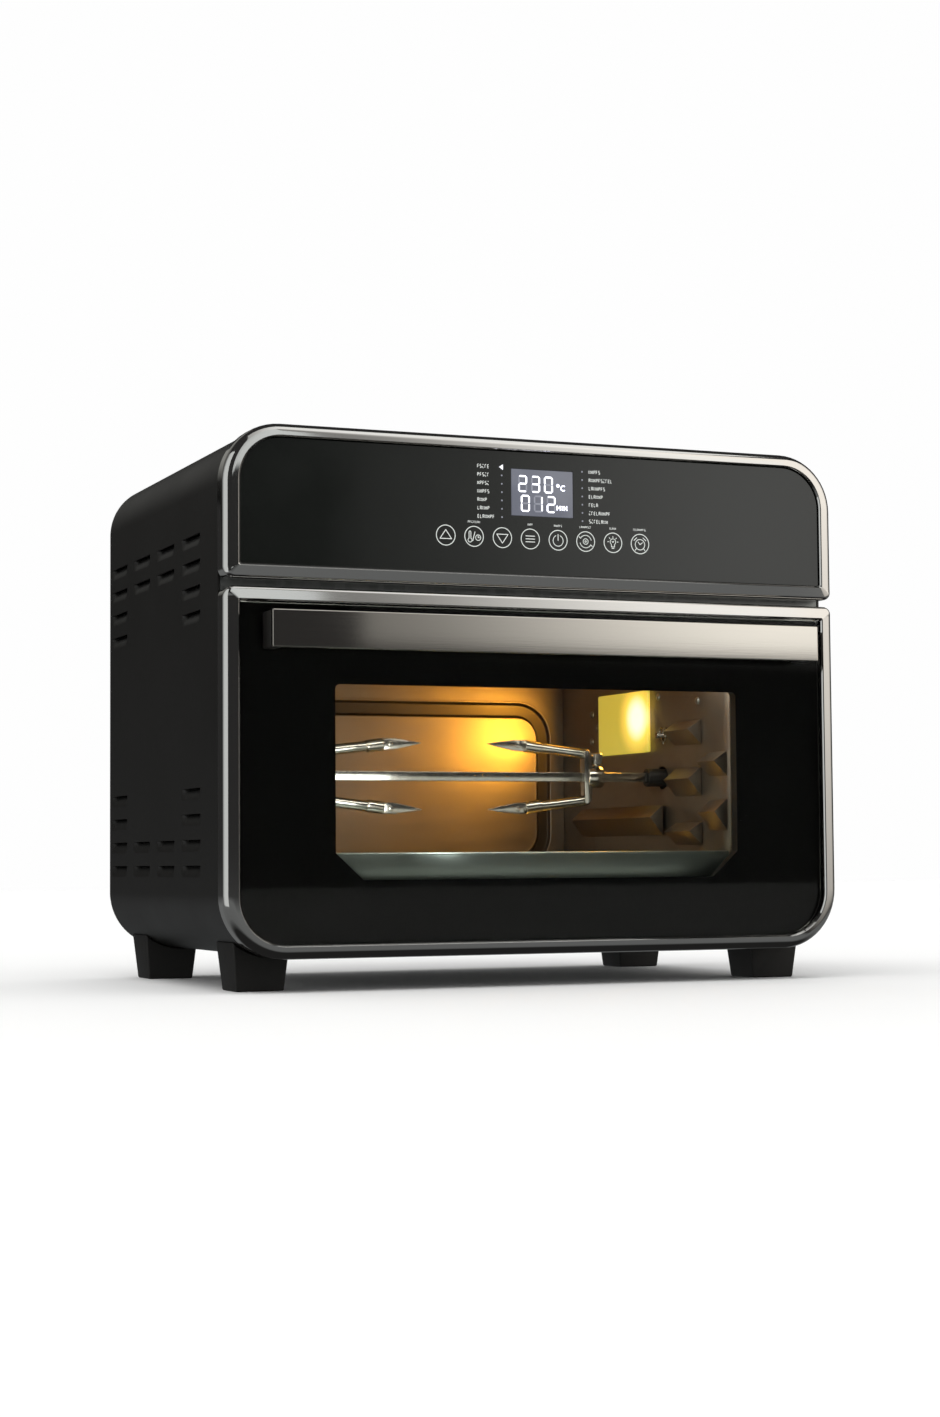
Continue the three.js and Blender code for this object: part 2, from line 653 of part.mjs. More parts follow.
/** Plan of the drafted cavity, grown outwards by a margin. */
function cavityPlan(margin, front, back) {
  const near = wallAt(front) + margin;
  const far = wallAt(back) + margin;
  return polygon([[-near, front], [near, front], [far, back], [-far, back]]);
}

const LONG_SUPPORT = 20; // height of the long rack support
const LONG_SUPPORT_FRONT = 101;
const LONG_SUPPORT_REAR = 29; // its end ahead of the back wall
const LONG_SUPPORT_DROP = 38.5; // its lower edge below the spit

/** Short rack supports: [first y, last y, share of the cavity's height below it, height]. */
const SHORT_SUPPORTS = [
  [54, 90, 0.573, 16], [54, 90, 0.366, 19], [54, 90, 0.171, 15],
  [22, 45, 0.439, 16], [22, 45, 0.226, 20],
];

/** One pressed rack support that stands into the cavity from a side wall. */
function rackSupport(side, front, back, low, tall) {
  const wall = wallAt(back) + LINER / 2;
  const face = wallAt(back) - RIDGE_PROUD;
  const shape = [[side * wall, low], [side * wall, low + tall], [side * face, low + 0.6 * tall]];
  return slabY(polygon(side > 0 ? shape.reverse() : shape), front, back);
}

/** Every rack support of one side wall. */
function rackSupports(side) {
  const longBack = cavityBack - LONG_SUPPORT_REAR;
  const longLow = spitZ - LONG_SUPPORT_DROP;
  const short = SHORT_SUPPORTS.map(([front, back, level, tall]) => (
    rackSupport(side, front, back, floorZ + level * cavityTall, tall)));
  return [rackSupport(side, LONG_SUPPORT_FRONT, longBack, longLow, LONG_SUPPORT), ...short];
}

/** Pressed band in the back wall, as a ring between two outlines. */
function backBand() {
  const side = mouthHalf - CAVITY_DRAFT - BAND_INSET;
  const top = ceiling - BAND_DROP;
  const low = floorZ + 12;
  const ringOf = (inset, front, back) => {
    const radius = BAND_RADIUS - inset;
    const shape = roundRect(-side + inset, side - inset, low + inset, top - inset, radius, radius);
    return slabY(shape, front, back);
  };
  const field = ringOf(BAND_WIDTH, cavityBack - 2, cavityBack + BAND_DEEP + 1);
  return cut(ringOf(0, cavityBack - 1, cavityBack + BAND_DEEP), field);
}

const shellBack = cavityBack + BACK_WALL;

/** Floor and ceiling of the oven liner, joined by the flange round its mouth. */
function cavityWrap() {
  const outer = slabZ(cavityPlan(LINER, mouthFront, shellBack), floorZ - LINER, roof);
  const between = slabZ(cavityPlan(LINER + 1, mouthFront - 1, shellBack + 1), floorZ, ceiling);
  const edge = mouthHalf + MOUTH_FLANGE;
  const flangeSpan = [floorZ - MOUTH_FLANGE, ceiling + MOUTH_FLANGE];
  const flange = box([-edge, edge], [mouthFront, mouthFront + LINER], flangeSpan);
  const mouth = box([-mouthHalf, mouthHalf], [0, BODY_DEPTH], [floorZ, ceiling]);
  const upright = (x, y, radius, sides) => rod([x, y, ceiling - 1], [x, y, roof + 1], radius, radius, sides);
  const legHoles = [-1, 1].map((side) => upright(side * HEATER_LEG, fanY + legY, HEATER + 1, 16));
  const sheets = cut(outer, between);
  return cut(join(sheets, cut(flange, mouth)), upright(0, fanY, fanRadius + 4, 32), ...legHoles);
}

/** Side wall of the oven liner with its rack supports and the holes that it has on this side. */
function cavitySide(side) {
  const front = mouthFront + LINER + CLEAR;
  const plan = polygon([
    [side * wallAt(front), front], [side * (wallAt(front) + LINER), front],
    [side * (wallAt(shellBack) + LINER), shellBack], [side * wallAt(shellBack), shellBack],
  ]);
  const wall = slabZ(plan, floorZ + CLEAR, ceiling - CLEAR);
  const across = (y, z, radius) => rod([mouthHalf - 20, y, z], [half, y, z], radius);
  const heaterHoles = [frontHeaterY, rearHeaterY].map((y) => rod(
    [-half, y, floorZ + HEATER_RISE], [half, y, floorZ + HEATER_RISE], HEATER + 1));
  const lampHole = box(
    [wallAt(0) - 12, half], [LAMP_Y - lampHalf + 3, LAMP_Y + lampHalf - 3],
    [lampZ - lampTall + 3, lampZ + lampTall - 3]);
  return cut(join(wall, ...rackSupports(side)), lampHole, across(SPIT_Y, spitZ, SOCKET + 2),
    across(PROBE_Y, probeZ, PROBE + CLEAR), ...heaterHoles);
}

/** Back wall of the oven liner, with its pressed band. */
function cavityRear() {
  const side = wallAt(shellBack) - CLEAR;
  const plate = box([-side, side], [cavityBack, shellBack], [floorZ + CLEAR, ceiling - CLEAR]);
  return cut(plate, backBand());
}

add('cavity_wrap', cavityWrap(), 'enamel');
add('cavity_rear', cavityRear(), 'enamel');
for (const [name, side] of SIDES) {
  add(`cavity_side_${name}`, cavitySide(side), 'enamel');
}

// ---------------------------------------------------------------- crumb tray

const TRAY_FRONT = 18.3;
const TRAY_LIP = 24; // lip above the cavity floor
const HEM = 2;

/** Crumb tray with a tall front lip that ends in a folded hem. */
function crumbTray() {
  const low = floorZ + CLEAR;
  const back = cavityBack - 4;
  const floorPlate = slabZ(cavityPlan(-1.5, TRAY_FRONT, back), low, low + LINER);
  const side = wallAt(TRAY_FRONT) - 1.5;
  const lip = box([-side, side], [TRAY_FRONT, TRAY_FRONT + SHEET], [low, floorZ + TRAY_LIP]);
  const hem = box([-side, side], [TRAY_FRONT, TRAY_FRONT + 3], [floorZ + TRAY_LIP - HEM, floorZ + TRAY_LIP]);
  return join(floorPlate, lip, hem);
}

add('crumb_tray', crumbTray(), 'brushedSteel');

// ------------------------------------------------------------------- rotisserie

const SPIT_GAP = 0.3; // each side of the bar in a square hole
const spitEnd = wallAt(SPIT_Y) - 5;
const restX = wallAt(SPIT_Y) - 2;
const REST_LONG = 9;
const JOURNAL = 2.6;

/** Square spit with a round journal on its left end. */
function spitRod() {
  const side = SPIT / 2;
  const shoulder = -restX + REST_LONG + 1;
  const bar = box([shoulder, spitEnd], [SPIT_Y - side, SPIT_Y + side], [spitZ - side, spitZ + side]);
  return join(bar, rod([-restX + 1, SPIT_Y, spitZ], [shoulder + 0.5, SPIT_Y, spitZ], JOURNAL));
}

/** Square hole along the spit, between two x values. */
function spitHole(left, right) {
  const side = SPIT / 2 + SPIT_GAP;
  return box([left, right], [SPIT_Y - side, SPIT_Y + side], [spitZ - side, spitZ + side]);
}

const socketFront = spitEnd - 7;
const motorFront = wallAt(SPIT_Y) + 10;

/** Driven socket that takes the square end of the spit. */
function driveSocket() {
  const body = rod([socketFront, SPIT_Y, spitZ], [motorFront - CLEAR, SPIT_Y, spitZ], SOCKET, SOCKET, 20);
  return cut(body, spitHole(socketFront - 1, spitEnd + SPIT_GAP));
}

/** Geared motor whose output is off its own centre. */
function rotisserieMotor() {
  const y = SPIT_Y - 14;
  const z = spitZ - 14;
  const can = rod([motorFront, y, z], [motorFront + 20, y, z], 24, 24, 24);
  const ears = box([motorFront, motorFront + 1.5], [y - 7, y + 7], [z - 32, z + 32]);
  const plug = box([motorFront + 5, motorFront + 15], [y - 8, y + 8], [z - 32, z - 20]);
  return join(can, ears, plug);
}

/** Open hook on the left wall that the spit's journal turns in. */
function spitRest() {
  const wallX = -(wallAt(SPIT_Y + 10) - CLEAR);
  const end = -restX + REST_LONG;
  const slot = JOURNAL + 0.5;
  const block = box([wallX, end], [SPIT_Y - 10, SPIT_Y + 10], [spitZ - 13, spitZ + 2.5]);
  const notch = box([-half, half], [SPIT_Y - slot, SPIT_Y + slot], [spitZ - 3.2, HEIGHT]);
  const relief = box([-restX - 1.7, end - 2], [SPIT_Y - 20, SPIT_Y + 20], [spitZ - 8, HEIGHT]);
  return cut(block, relief, notch);
}

add('spit_rod', spitRod(), 'polishedSteel');
add('drive_socket', driveSocket(), 'blackPlastic');
add('rotisserie_motor', rotisserieMotor(), 'motorCan');
add('spit_rest', spitRest(), 'plainSteel');

const HUB_LONG = 11.5; // cross bar to the far end of the fork's hub
const HUB = 7;
const SCREW = 2;
const SCREW_BACK = 7.8; // cross bar to the thumb screw
const forkLeftX = FORK_LEFT_INSET - mouthHalf;
const forkRightX = mouthHalf - FORK_RIGHT_INSET;
const forkReach = (forkRightX - forkLeftX - TIP_GAP) / 2; // cross bar to tip
const ferrule = 0.481 * forkReach; // cross bar to the start of the prong's sleeve
const bladeStart = 0.614 * forkReach; // cross bar to the start of the flat blade

/** Fork with two prongs that point along x in the given direction. */
function fork(crossX, direction) {
  const at = (distance) => crossX + direction * distance;
  const hub = rod([at(-HUB_LONG), SPIT_Y, spitZ], [at(0), SPIT_Y, spitZ], HUB, HUB, 12);
  const sleeveOff = FORK_SPREAD - 0.8;
  const pieces = [hub];
  for (const up of [-1, 1]) {
    const root = [at(0), SPIT_Y, spitZ + up * FORK_ROOT];
    const bend = [at(ferrule), SPIT_Y, spitZ + up * sleeveOff];
    const blade = [at(bladeStart), SPIT_Y, spitZ + up * FORK_SPREAD];
    const tip = [at(forkReach), SPIT_Y, spitZ + up * (FORK_SPREAD + 1)];
    const bar = (from, to, radius, end = radius) => pieces.push(rod(from, to, radius, end, 8));
    bar([at(0), SPIT_Y, spitZ], root, PRONG);
    bar([at(-PRONG), SPIT_Y, root[2]], [at(PRONG), SPIT_Y, root[2]], PRONG);
    bar(root, bend, PRONG);
    bar([at(ferrule - 1), SPIT_Y, bend[2]], blade, PRONG + 0.7);
    bar(blade, tip, PRONG + 0.4, 0.5);
  }
  const screwX = at(-SCREW_BACK);
  const tapped = rod([screwX, SPIT_Y, spitZ], [screwX, SPIT_Y, spitZ + 20], SCREW + CLEAR);
  return cut(join(...pieces), spitHole(crossX - 40, crossX + 40), tapped);
}

/** Thumb screw that locks a fork to the spit. */
function forkScrew(crossX, direction) {
  const x = crossX - direction * SCREW_BACK;
  const low = spitZ + SPIT / 2 + 2 * SPIT_GAP;
  const head = spitZ + HUB + 1;
  const shank = rod([x, SPIT_Y, low], [x, SPIT_Y, head + 1], SCREW);
  return join(shank, rod([x, SPIT_Y, head], [x, SPIT_Y, head + 8], 4.2, 4.2, 12));
}

for (const [name, crossX, direction] of [['left', forkLeftX, 1], ['right', forkRightX, -1]]) {
  add(`fork_${name}`, fork(crossX, direction), 'polishedSteel');
  add(`fork_screw_${name}`, forkScrew(crossX, direction), 'polishedSteel');
}

// ------------------------------------------------------------------------- lamp

const COVER = 3;
const draftAngle = Math.atan(CAVITY_DRAFT / (cavityBack - mouthFront));

const cover = add(
  'lamp_cover',
  box([-COVER - CLEAR, -CLEAR], [-lampHalf, lampHalf], [-lampTall, lampTall]),
  'lampGlass');
cover.position.set(wallAt(LAMP_Y), LAMP_Y, lampZ);
cover.rotation.z = draftAngle;

const lampBoxFront = wallAt(LAMP_Y - lampHalf) + LINER + 2 * CLEAR;
const lampBoxBack = lampBoxFront + 40;
const bulbY = LAMP_Y - 18;

/** Reflector box behind the lamp opening, open towards the oven. */
function lampHousing() {
  const tall = lampTall + 1;
  const long = lampHalf + 1;
  const shape = (inset, front, back) => box(
    [front, back], [LAMP_Y - long + inset, LAMP_Y + long - inset],
    [lampZ - tall + inset, lampZ + tall - inset]);
  const hollow = shape(LINER, lampBoxFront - 1, lampBoxBack - LINER);
  const radius = 10 + CLEAR;
  const [from, to] = [lampBoxBack - 4, lampBoxBack + 4];
  const hole = rod([from, bulbY, lampZ], [to, bulbY, lampZ], radius, radius, 20);
  return cut(shape(0, lampBoxFront, lampBoxBack), hollow, hole);
}

/** Ceramic socket, pushed into the reflector box from outside. */
function lampSocket() {
  const collar = lampBoxBack + CLEAR;
  const neck = rod([lampBoxBack - 6, bulbY, lampZ], [collar + 8, bulbY, lampZ], 10, 10, 20);
  const flange = rod([collar, bulbY, lampZ], [collar + 2, bulbY, lampZ], 13, 13, 20);
  return join(neck, flange);
}

/** Lamp bulb with its cap against the socket. */
function lampBulb() {
  const capBack = lampBoxBack - 6 - CLEAR;
  const cap = rod([capBack - 8, bulbY, lampZ], [capBack, bulbY, lampZ], 7, 7, 16);
  const neck = rod([capBack - 12, bulbY, lampZ], [capBack - 7, bulbY, lampZ], 9, 7, 16);
  const globe = new THREE.SphereGeometry(10, 16, 10).translate(capBack - 17, bulbY, lampZ);
  return join(solid(globe), neck, cap);
}

add('lamp_housing', lampHousing(), 'motorCan');
add('lamp_socket', lampSocket(), 'ceramic');
add('lamp_bulb', lampBulb(), 'lampGlass');

// --------------------------------------------------------------------- heaters

const heaterZ = floorZ + HEATER_RISE;
for (const [name, y] of [['front', frontHeaterY], ['rear', rearHeaterY]]) {
  const reach = mouthHalf + 4;
  const tube = rod([-reach, y, heaterZ], [reach, y, heaterZ], HEATER, HEATER, 12);
  const tails = rod([-reach - 6, y, heaterZ], [reach + 6, y, heaterZ], 1.5, 1.5, 8);
  add(`heater_bottom_${name}`, join(tube, tails), 'heater');
}

/** Ring heater under the fan, with two legs up through the ceiling. */
function ringHeater() {
  const z = ceiling - 8;
  const ring = new THREE.TorusGeometry(ringRadius, HEATER, 8, 32).translate(0, fanY, z);
  const legs = [-HEATER_LEG, HEATER_LEG].map(
    (x) => rod([x, fanY + legY, z], [x, fanY + legY, roof + 6], HEATER, HEATER, 8));
  return join(solid(ring), ...legs);
}

add('heater_top', ringHeater(), 'heater');

// ------------------------------------------------------------------- hot-air fan

const GUARD_DROP = 18; // guard face below the ceiling
const fanLow = roof + 2;
const FAN_TALL = 14;
const housingHigh = roof + 26;
const coolLow = housingHigh + 3;
const COOL_TALL = 7;
const COOL_INSET = 18; // cooling fan's radius below the hot-air fan's
const motorLow = housingHigh + 14;

/** Perforated dish under the fan and the ring heater. */
function fanGuard() {
  const rim = ceiling - CLEAR;
  const face = ceiling - GUARD_DROP;
  const outer = turned([[0, face], [guardRadius, face], [guardRadius, rim], [0, rim]], 0, fanY);
  const inside = guardRadius - LINER;
  const hollow = turned(
    [[0, face + LINER], [inside, face + LINER], [inside, rim + 1], [0, rim + 1]], 0, fanY);
  const holes = [];
  for (const [share, count] of [[0.295, 6], [0.557, 11], [0.818, 16]]) {
    const radius = share * guardRadius;
    for (let index = 0; index < count; index += 1) {
      const angle = (2 * Math.PI * index) / count;
      const x = radius * Math.cos(angle);
      const y = fanY + radius * Math.sin(angle);
      holes.push(rod([x, y, face - 1], [x, y, face + 2], 6.5, 6.5, 6));
    }
  }
  return cut(outer, hollow, ...holes);
}

/** Fan wheel: a disc with radial blades and a bored hub. */
function fanWheel(radius, low, tall, blades, plateLow) {
  const plate = rod([0, fanY, plateLow], [0, fanY, plateLow + 1.2], radius, radius, 32);
  const hub = rod([0, fanY, low], [0, fanY, low + tall], SHAFT + 5, SHAFT + 5, 16);
  const pieces = [plate, hub];
  for (let index = 0; index < blades; index += 1) {
    const blade = new THREE.BoxGeometry(radius * 0.62, 1.2, tall - 1);
    blade.translate(radius * 0.62, 0, low + tall / 2).rotateZ((2 * Math.PI * index) / blades);
    pieces.push(solid(blade.translate(0, fanY, 0)));
  }
  const bore = rod([0, fanY, low - 1], [0, fanY, low + tall + 1], SHAFT + CLEAR, SHAFT + CLEAR, 16);
  return cut(join(...pieces), bore);
}

/** Pan over the ceiling opening that the fan wheel turns in. */
function fanHousing() {
  const low = roof + CLEAR;
  const wall = fanRadius + PAN_CLEAR;
  const profile = (inset, from, to) => [[0, from], [wall - inset, from], [wall - inset, to], [0, to]];
  const block = turned(profile(0, low, housingHigh), 0, fanY);
  const hollow = turned(profile(LINER, low - 1, housingHigh - LINER), 0, fanY);
  const bore = rod([0, fanY, housingHigh - 3], [0, fanY, housingHigh + 3], SHAFT + 3);
  return cut(block, hollow, bore);
}

/** Motor on a round flange with four posts down to the fan housing. */
function fanMotor() {
  const can = rod([0, fanY, motorLow], [0, fanY, motorLow + 30], 30, 30, 24);
  const flange = rod([0, fanY, motorLow], [0, fanY, motorLow + 2], fanRadius, fanRadius, 24);
  const off = (fanRadius + PAN_CLEAR - POST_INSET) * Math.SQRT1_2;
  const pieces = [can, flange];
  for (const [dx, dy] of [[off, off], [-off, off], [off, -off], [-off, -off]]) {
    pieces.push(rod([dx, fanY + dy, housingHigh + CLEAR], [dx, fanY + dy, motorLow + 1], 3, 3, 12));
  }
  return join(...pieces);
}

add('fan_guard', fanGuard(), 'plainSteel');
add('hot_air_fan', fanWheel(fanRadius, fanLow, FAN_TALL, 10, fanLow + FAN_TALL - 1.7), 'plainSteel');
add('fan_housing', fanHousing(), 'motorCan');
add('cooling_fan', fanWheel(fanRadius - COOL_INSET, coolLow, COOL_TALL, 8, coolLow + 0.5), 'blackPlastic');
add('fan_shaft', rod([0, fanY, fanLow - 3], [0, fanY, motorLow - CLEAR], SHAFT), 'plainSteel');
add('fan_motor', fanMotor(), 'motorCan');

// ------------------------------------------------------- electronics and sensors

/** Power board on four posts above the cavity. */
function powerBoard() {
  const left = -half + 22;
  const right = -fanRadius - 16;
  const front = 55;
  const back = BODY_DEPTH - 78;
  const low = roof + 36;
  const pieces = [box([left, right], [front, back], [low, low + BOARD])];
  for (const x of [left + 62, right - 6]) {
    for (const y of [front + 6, back - 6]) {
      pieces.push(rod([x, y, roof + CLEAR], [x, y, low + 1], 3, 3, 10));
    }
  }
  const parts = [
    [20, 18, 34, 30, 24], [62, 20, 22, 16, 20], [62, 48, 22, 16, 20], [24, 62, 28, 12, 15],
    [66, 84, 26, 20, 12],
  ];
  for (const [dx, dy, long, wide, tall] of parts) {
    const x = left + dx;
    const y = front + dy;
    pieces.push(box([x, x + long], [y, y + wide], [low + 1, low + BOARD + tall]));
  }
  return join(...pieces);
}

/** Rod sensor through the right wall, with its flange outside. */
function temperatureProbe() {
  const wall = wallAt(PROBE_Y) + LINER + CLEAR;
  const stem = rod(
    [wall - LINER - CLEAR - PROBE_REACH, PROBE_Y, probeZ], [wall + 10, PROBE_Y, probeZ],
    PROBE, PROBE, 12);
  return join(stem, rod([wall + 0.5, PROBE_Y, probeZ], [wall + 3, PROBE_Y, probeZ], 5, 5, 12));
}

/** Disc thermal cut-out on top of the cavity, with two tabs. */
function thermalCutout() {
  const [x, y] = [mouthHalf - 34, cavityBack - 40];
  const low = roof + CLEAR;
  const base = box([x - 13, x + 13], [y - 7, y + 7], [low, low + 1]);
  const disc = rod([x, y, low], [x, y, low + 10], 7.5, 7.5, 16);
  const tabs = [-4, 4].map((dx) => box([x + dx - 0.5, x + dx + 0.5], [y - 3, y + 3], [low + 9, low + 17]));
  return join(base, disc, ...tabs);
}

/** Micro switch behind the chassis plate, bored for its plunger. */
function doorSwitch() {
  const front = chassisBack + CLEAR;
  const body = box([switchX - 5, switchX + 5], [front, front + 18], [switchZ - 11, switchZ + 5]);
  return cut(body, switchHole(PLUNGER + CLEAR, front - 1, front + 8));
}

/** Plunger that the closed door pushes in. */
function switchPlunger() {
  return switchHole(PLUNGER, leafFront, chassisBack + 6);
}

add('power_board', powerBoard(), 'board');
add('temperature_probe', temperatureProbe(), 'plainSteel');
add('thermal_cutout', thermalCutout(), 'ceramic');
add('door_switch', doorSwitch(), 'blackPlastic');
add('switch_plunger', switchPlunger(), 'ceramic');

model.position.y = (HANDLE_REACH - BODY_DEPTH) / 2;

export default model;
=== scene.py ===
"""Looks for a countertop air-fryer toaster oven, laid out as a Blender add-on.

Every size is in metres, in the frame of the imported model: +Z up, the door and the
control panel face -Y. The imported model's nodes stay where they are. They get
finishes here, or a finer piece stands for them.
"""

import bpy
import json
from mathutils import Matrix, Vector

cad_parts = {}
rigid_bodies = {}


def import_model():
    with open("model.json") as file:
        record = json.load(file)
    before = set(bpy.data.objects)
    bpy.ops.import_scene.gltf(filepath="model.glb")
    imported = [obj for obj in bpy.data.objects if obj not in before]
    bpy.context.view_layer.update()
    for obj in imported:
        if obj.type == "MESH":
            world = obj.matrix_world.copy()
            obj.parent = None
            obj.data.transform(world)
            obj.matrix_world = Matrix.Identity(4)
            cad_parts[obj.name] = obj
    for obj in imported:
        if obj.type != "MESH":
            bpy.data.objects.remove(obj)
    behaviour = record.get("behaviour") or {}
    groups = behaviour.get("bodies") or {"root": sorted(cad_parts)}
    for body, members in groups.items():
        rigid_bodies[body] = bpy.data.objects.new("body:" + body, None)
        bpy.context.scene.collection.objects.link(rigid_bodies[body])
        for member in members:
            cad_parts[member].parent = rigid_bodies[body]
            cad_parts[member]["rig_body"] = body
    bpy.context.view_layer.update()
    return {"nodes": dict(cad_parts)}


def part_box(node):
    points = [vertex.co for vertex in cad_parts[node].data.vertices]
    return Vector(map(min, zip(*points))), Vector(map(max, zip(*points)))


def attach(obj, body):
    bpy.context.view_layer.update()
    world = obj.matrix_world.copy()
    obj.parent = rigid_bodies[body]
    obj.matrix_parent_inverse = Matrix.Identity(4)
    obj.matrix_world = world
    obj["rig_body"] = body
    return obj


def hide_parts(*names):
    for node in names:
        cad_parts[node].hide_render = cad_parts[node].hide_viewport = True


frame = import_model()

import json
import math

import bmesh
import bpy
from bpy.props import FloatProperty, FloatVectorProperty, IntProperty, PointerProperty
from mathutils import Matrix, Vector

bl_info = {
    "name": "Countertop Toaster Oven",
    "version": (1, 0, 0),
    "blender": (4, 5, 0),
    "location": "3D View > Sidebar > Oven",
    "description": "Builds the finished look of an air-fryer toaster oven round its packed model",
    "category": "Object",
}

MM = 0.001
SHEET = 1.2 * MM  # pressed sheet of the housing, the tray and the door's inner panel

# ------------------------------------------------------------- places in the model

NODES = {name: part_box(name) for name in frame["nodes"]}


def span(name, axis):
    """Lowest and highest value of a node along one axis."""
    low, high = NODES[name]
    return low[axis], high[axis]


X, Y, Z = 0, 1, 2
GLASS_Y = span("door_glass", Y)[0]
GLASS_BACK_Y = span("door_glass", Y)[1]
DISPLAY_MIDDLE_Z = sum(span("display_window", Z)) / 2
SPIT_Y = sum(span("spit_rod", Y)) / 2
SPIT_Z = sum(span("spit_rod", Z)) / 2
SEAT_GAP = 0.3 * MM  # between a frame and the glass inside it
FRAME_SIDE = span("control_glass", X)[0] - span("control_bezel", X)[0] - SEAT_GAP
FRAME_LEVEL = span("control_glass", Z)[0] - span("control_bezel", Z)[0] - SEAT_GAP
MOUTH_HALF, MOUTH_LOW, MOUTH_HIGH = 138 * MM, 58 * MM, 222 * MM  # opening of the oven
LINER_DRAFT = 8 * MM  # how much the side walls close in from front to back
HINGE_UP, HINGE_BACK = 22.5 * MM, 16  # the door's axis, above the table and behind the glass front


# --------------------------------------------------------------------- colours

def srgb(code):
    """A hex colour as linear red, green, blue and alpha."""
    channels = [int(code[i:i + 2], 16) / 255 for i in (1, 3, 5)]
    linear = [c / 12.92 if c <= 0.04045 else ((c + 0.055) / 1.055) ** 2.4 for c in channels]
    return (*linear, 1.0)


def colour(name, code, description):
    """A colour property with a hex default."""
    return FloatVectorProperty(
        name=name, description=description, subtype="COLOR", size=4, min=0, max=1, default=srgb(code))


def length(name, millimetres, description):
    """A length property with a default in millimetres."""
    return FloatProperty(name=name, description=description, unit="LENGTH", default=millimetres * MM)


def number(name, default, description, unit="NONE"):
    """A plain number property."""
    return FloatProperty(name=name, description=description, unit=unit, default=default)


class OvenColours(bpy.types.PropertyGroup):
    """Colours of the oven's finishes."""

    housing: colour("Housing", "#151310", "Powder coat of the wrap and the rear cover")
    frames: colour("Frames", "#cfcdca", "Polished stainless steel of the two front frames")
    handle: colour("Handle", "#cfcac2", "Brushed stainless steel of the handle bar")
    glass: colour("Control glass", "#151715", "Black print behind the control glass")
    border: colour("Door border", "#090807", "Black print behind the door glass")
    plastic: colour("Plastic", "#16130f", "Moulded feet, posts and carrier")
    cavity: colour("Cavity", "#8b8073", "Coated steel of the oven liner")
    tray: colour("Tray", "#a9b2ab", "Brushed steel of the crumb tray")
    ink: colour("Marks", "#c8cbc8", "Printed rings and icons")
    display: colour("Display", "#585a63", "Backlit ground of the display")
    lamp: colour("Lamp", "#ffb33c", "Warm light of the oven lamp")


class OvenSizes(bpy.types.PropertyGroup):
    """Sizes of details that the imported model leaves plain."""

    frame_round: length("Frame rounding", 7.2, "Radius of the frames' outer front edge")
    gap_round: length("Gap rounding", 3.0, "Radius of the frames' edges along the gap between them")
    frame_chamfer: length("Frame chamfer", 1.0, "Bevel beside the glass")
    frame_lean: number("Frame lean", 7.0, "Outward fall of the frames' face, in degrees")
    handle_edge: length("Handle edge", 0.7, "Rounded edge of the handle bar")
    louvre_tall: length("Louvre height", 7.2, "Height of one pressed louvre")
    louvre_press: length("Louvre depth", 3.4, "How far a louvre is pressed in")
    ring_radius: length("Button ring", 6.4, "Outer radius of a touch button's ring")
    line: length("Icon line", 0.52, "Width of the printed lines")
    corner_steps: IntProperty(name="Corner steps", description="Faces in a rounded corner", default=14)


class StageSettings(bpy.types.PropertyGroup):
    """Light and camera of the studio."""

    lens: number("Lens", 63.27, "Focal length in millimetres")
    lamp_power: number("Lamp power", 0.5, "Oven lamp, in watts", "POWER")
    oven_fill: number("Oven fill", 0.1, "Soft light in the oven mouth, in watts", "POWER")
    panel_light: number("Panels", 1.4, "Brightness of the reflection panels")
    top_light: number("Overhead", 1.0, "Brightness of the overhead light")
    even_light: number("Even light", 0.88, "Brightness of the surroundings")


# ------------------------------------------------------------------- node trees

def add_node(tree, kind, inputs=None, **settings):
    """Adds one node, sets its properties, and sets or links its inputs."""
    node = tree.nodes.new(kind)
    for name, value in settings.items():
        setattr(node, name, value)
    for key, value in (inputs or {}).items():
        if isinstance(value, bpy.types.NodeSocket):
            tree.links.new(value, node.inputs[key])
        else:
            node.inputs[key].default_value = value
    return node


def new_finish(name, base, roughness, metallic=0.0, ior=1.5):
    """A material with its shader, and the object coordinates that its patterns use."""
    material = bpy.data.materials.new(name)
    material.use_nodes = True
    tree = material.node_tree
    tree.nodes.clear()
    shader = add_node(tree, "ShaderNodeBsdfPrincipled", {
        "Base Color": base, "Roughness": roughness, "Metallic": metallic, "IOR": ior})
    add_node(tree, "ShaderNodeOutputMaterial", {"Surface": shader.outputs[0]})
    place = add_node(tree, "ShaderNodeTexCoord").outputs["Object"]
    return material, tree, shader, place


def vary_colour(tree, shader, factor, dark, light):
    """Base colour between two colours, by a factor."""
    mix = add_node(tree, "ShaderNodeMix", data_type="RGBA")
    tree.links.new(factor, mix.inputs["Factor"])
    mix.inputs["A"].default_value = dark
    mix.inputs["B"].default_value = light
    tree.links.new(mix.outputs["Result"], shader.inputs["Base Color"])


def vary_roughness(tree, shader, factor, low, high):
    """Roughness between two values, by a factor."""
    reach = add_node(tree, "ShaderNodeMapRange", {"Value": factor, "To Min": low, "To Max": high})
    tree.links.new(reach.outputs["Result"], shader.inputs["Roughness"])


def raise_surface(tree, shader, height, depth, strength=1.0):
    """Bump of a real depth, by a height from 0 to 1."""
    bump = add_node(tree, "ShaderNodeBump", {"Height": height, "Distance": depth, "Strength": strength})
    tree.links.new(bump.outputs["Normal"], shader.inputs["Normal"])


def scaled(rgba, share):
    """A colour made darker or lighter."""
    return (*[min(1.0, c * share) for c in rgba[:3]], 1.0)


# -------------------------------------------------------------------- materials

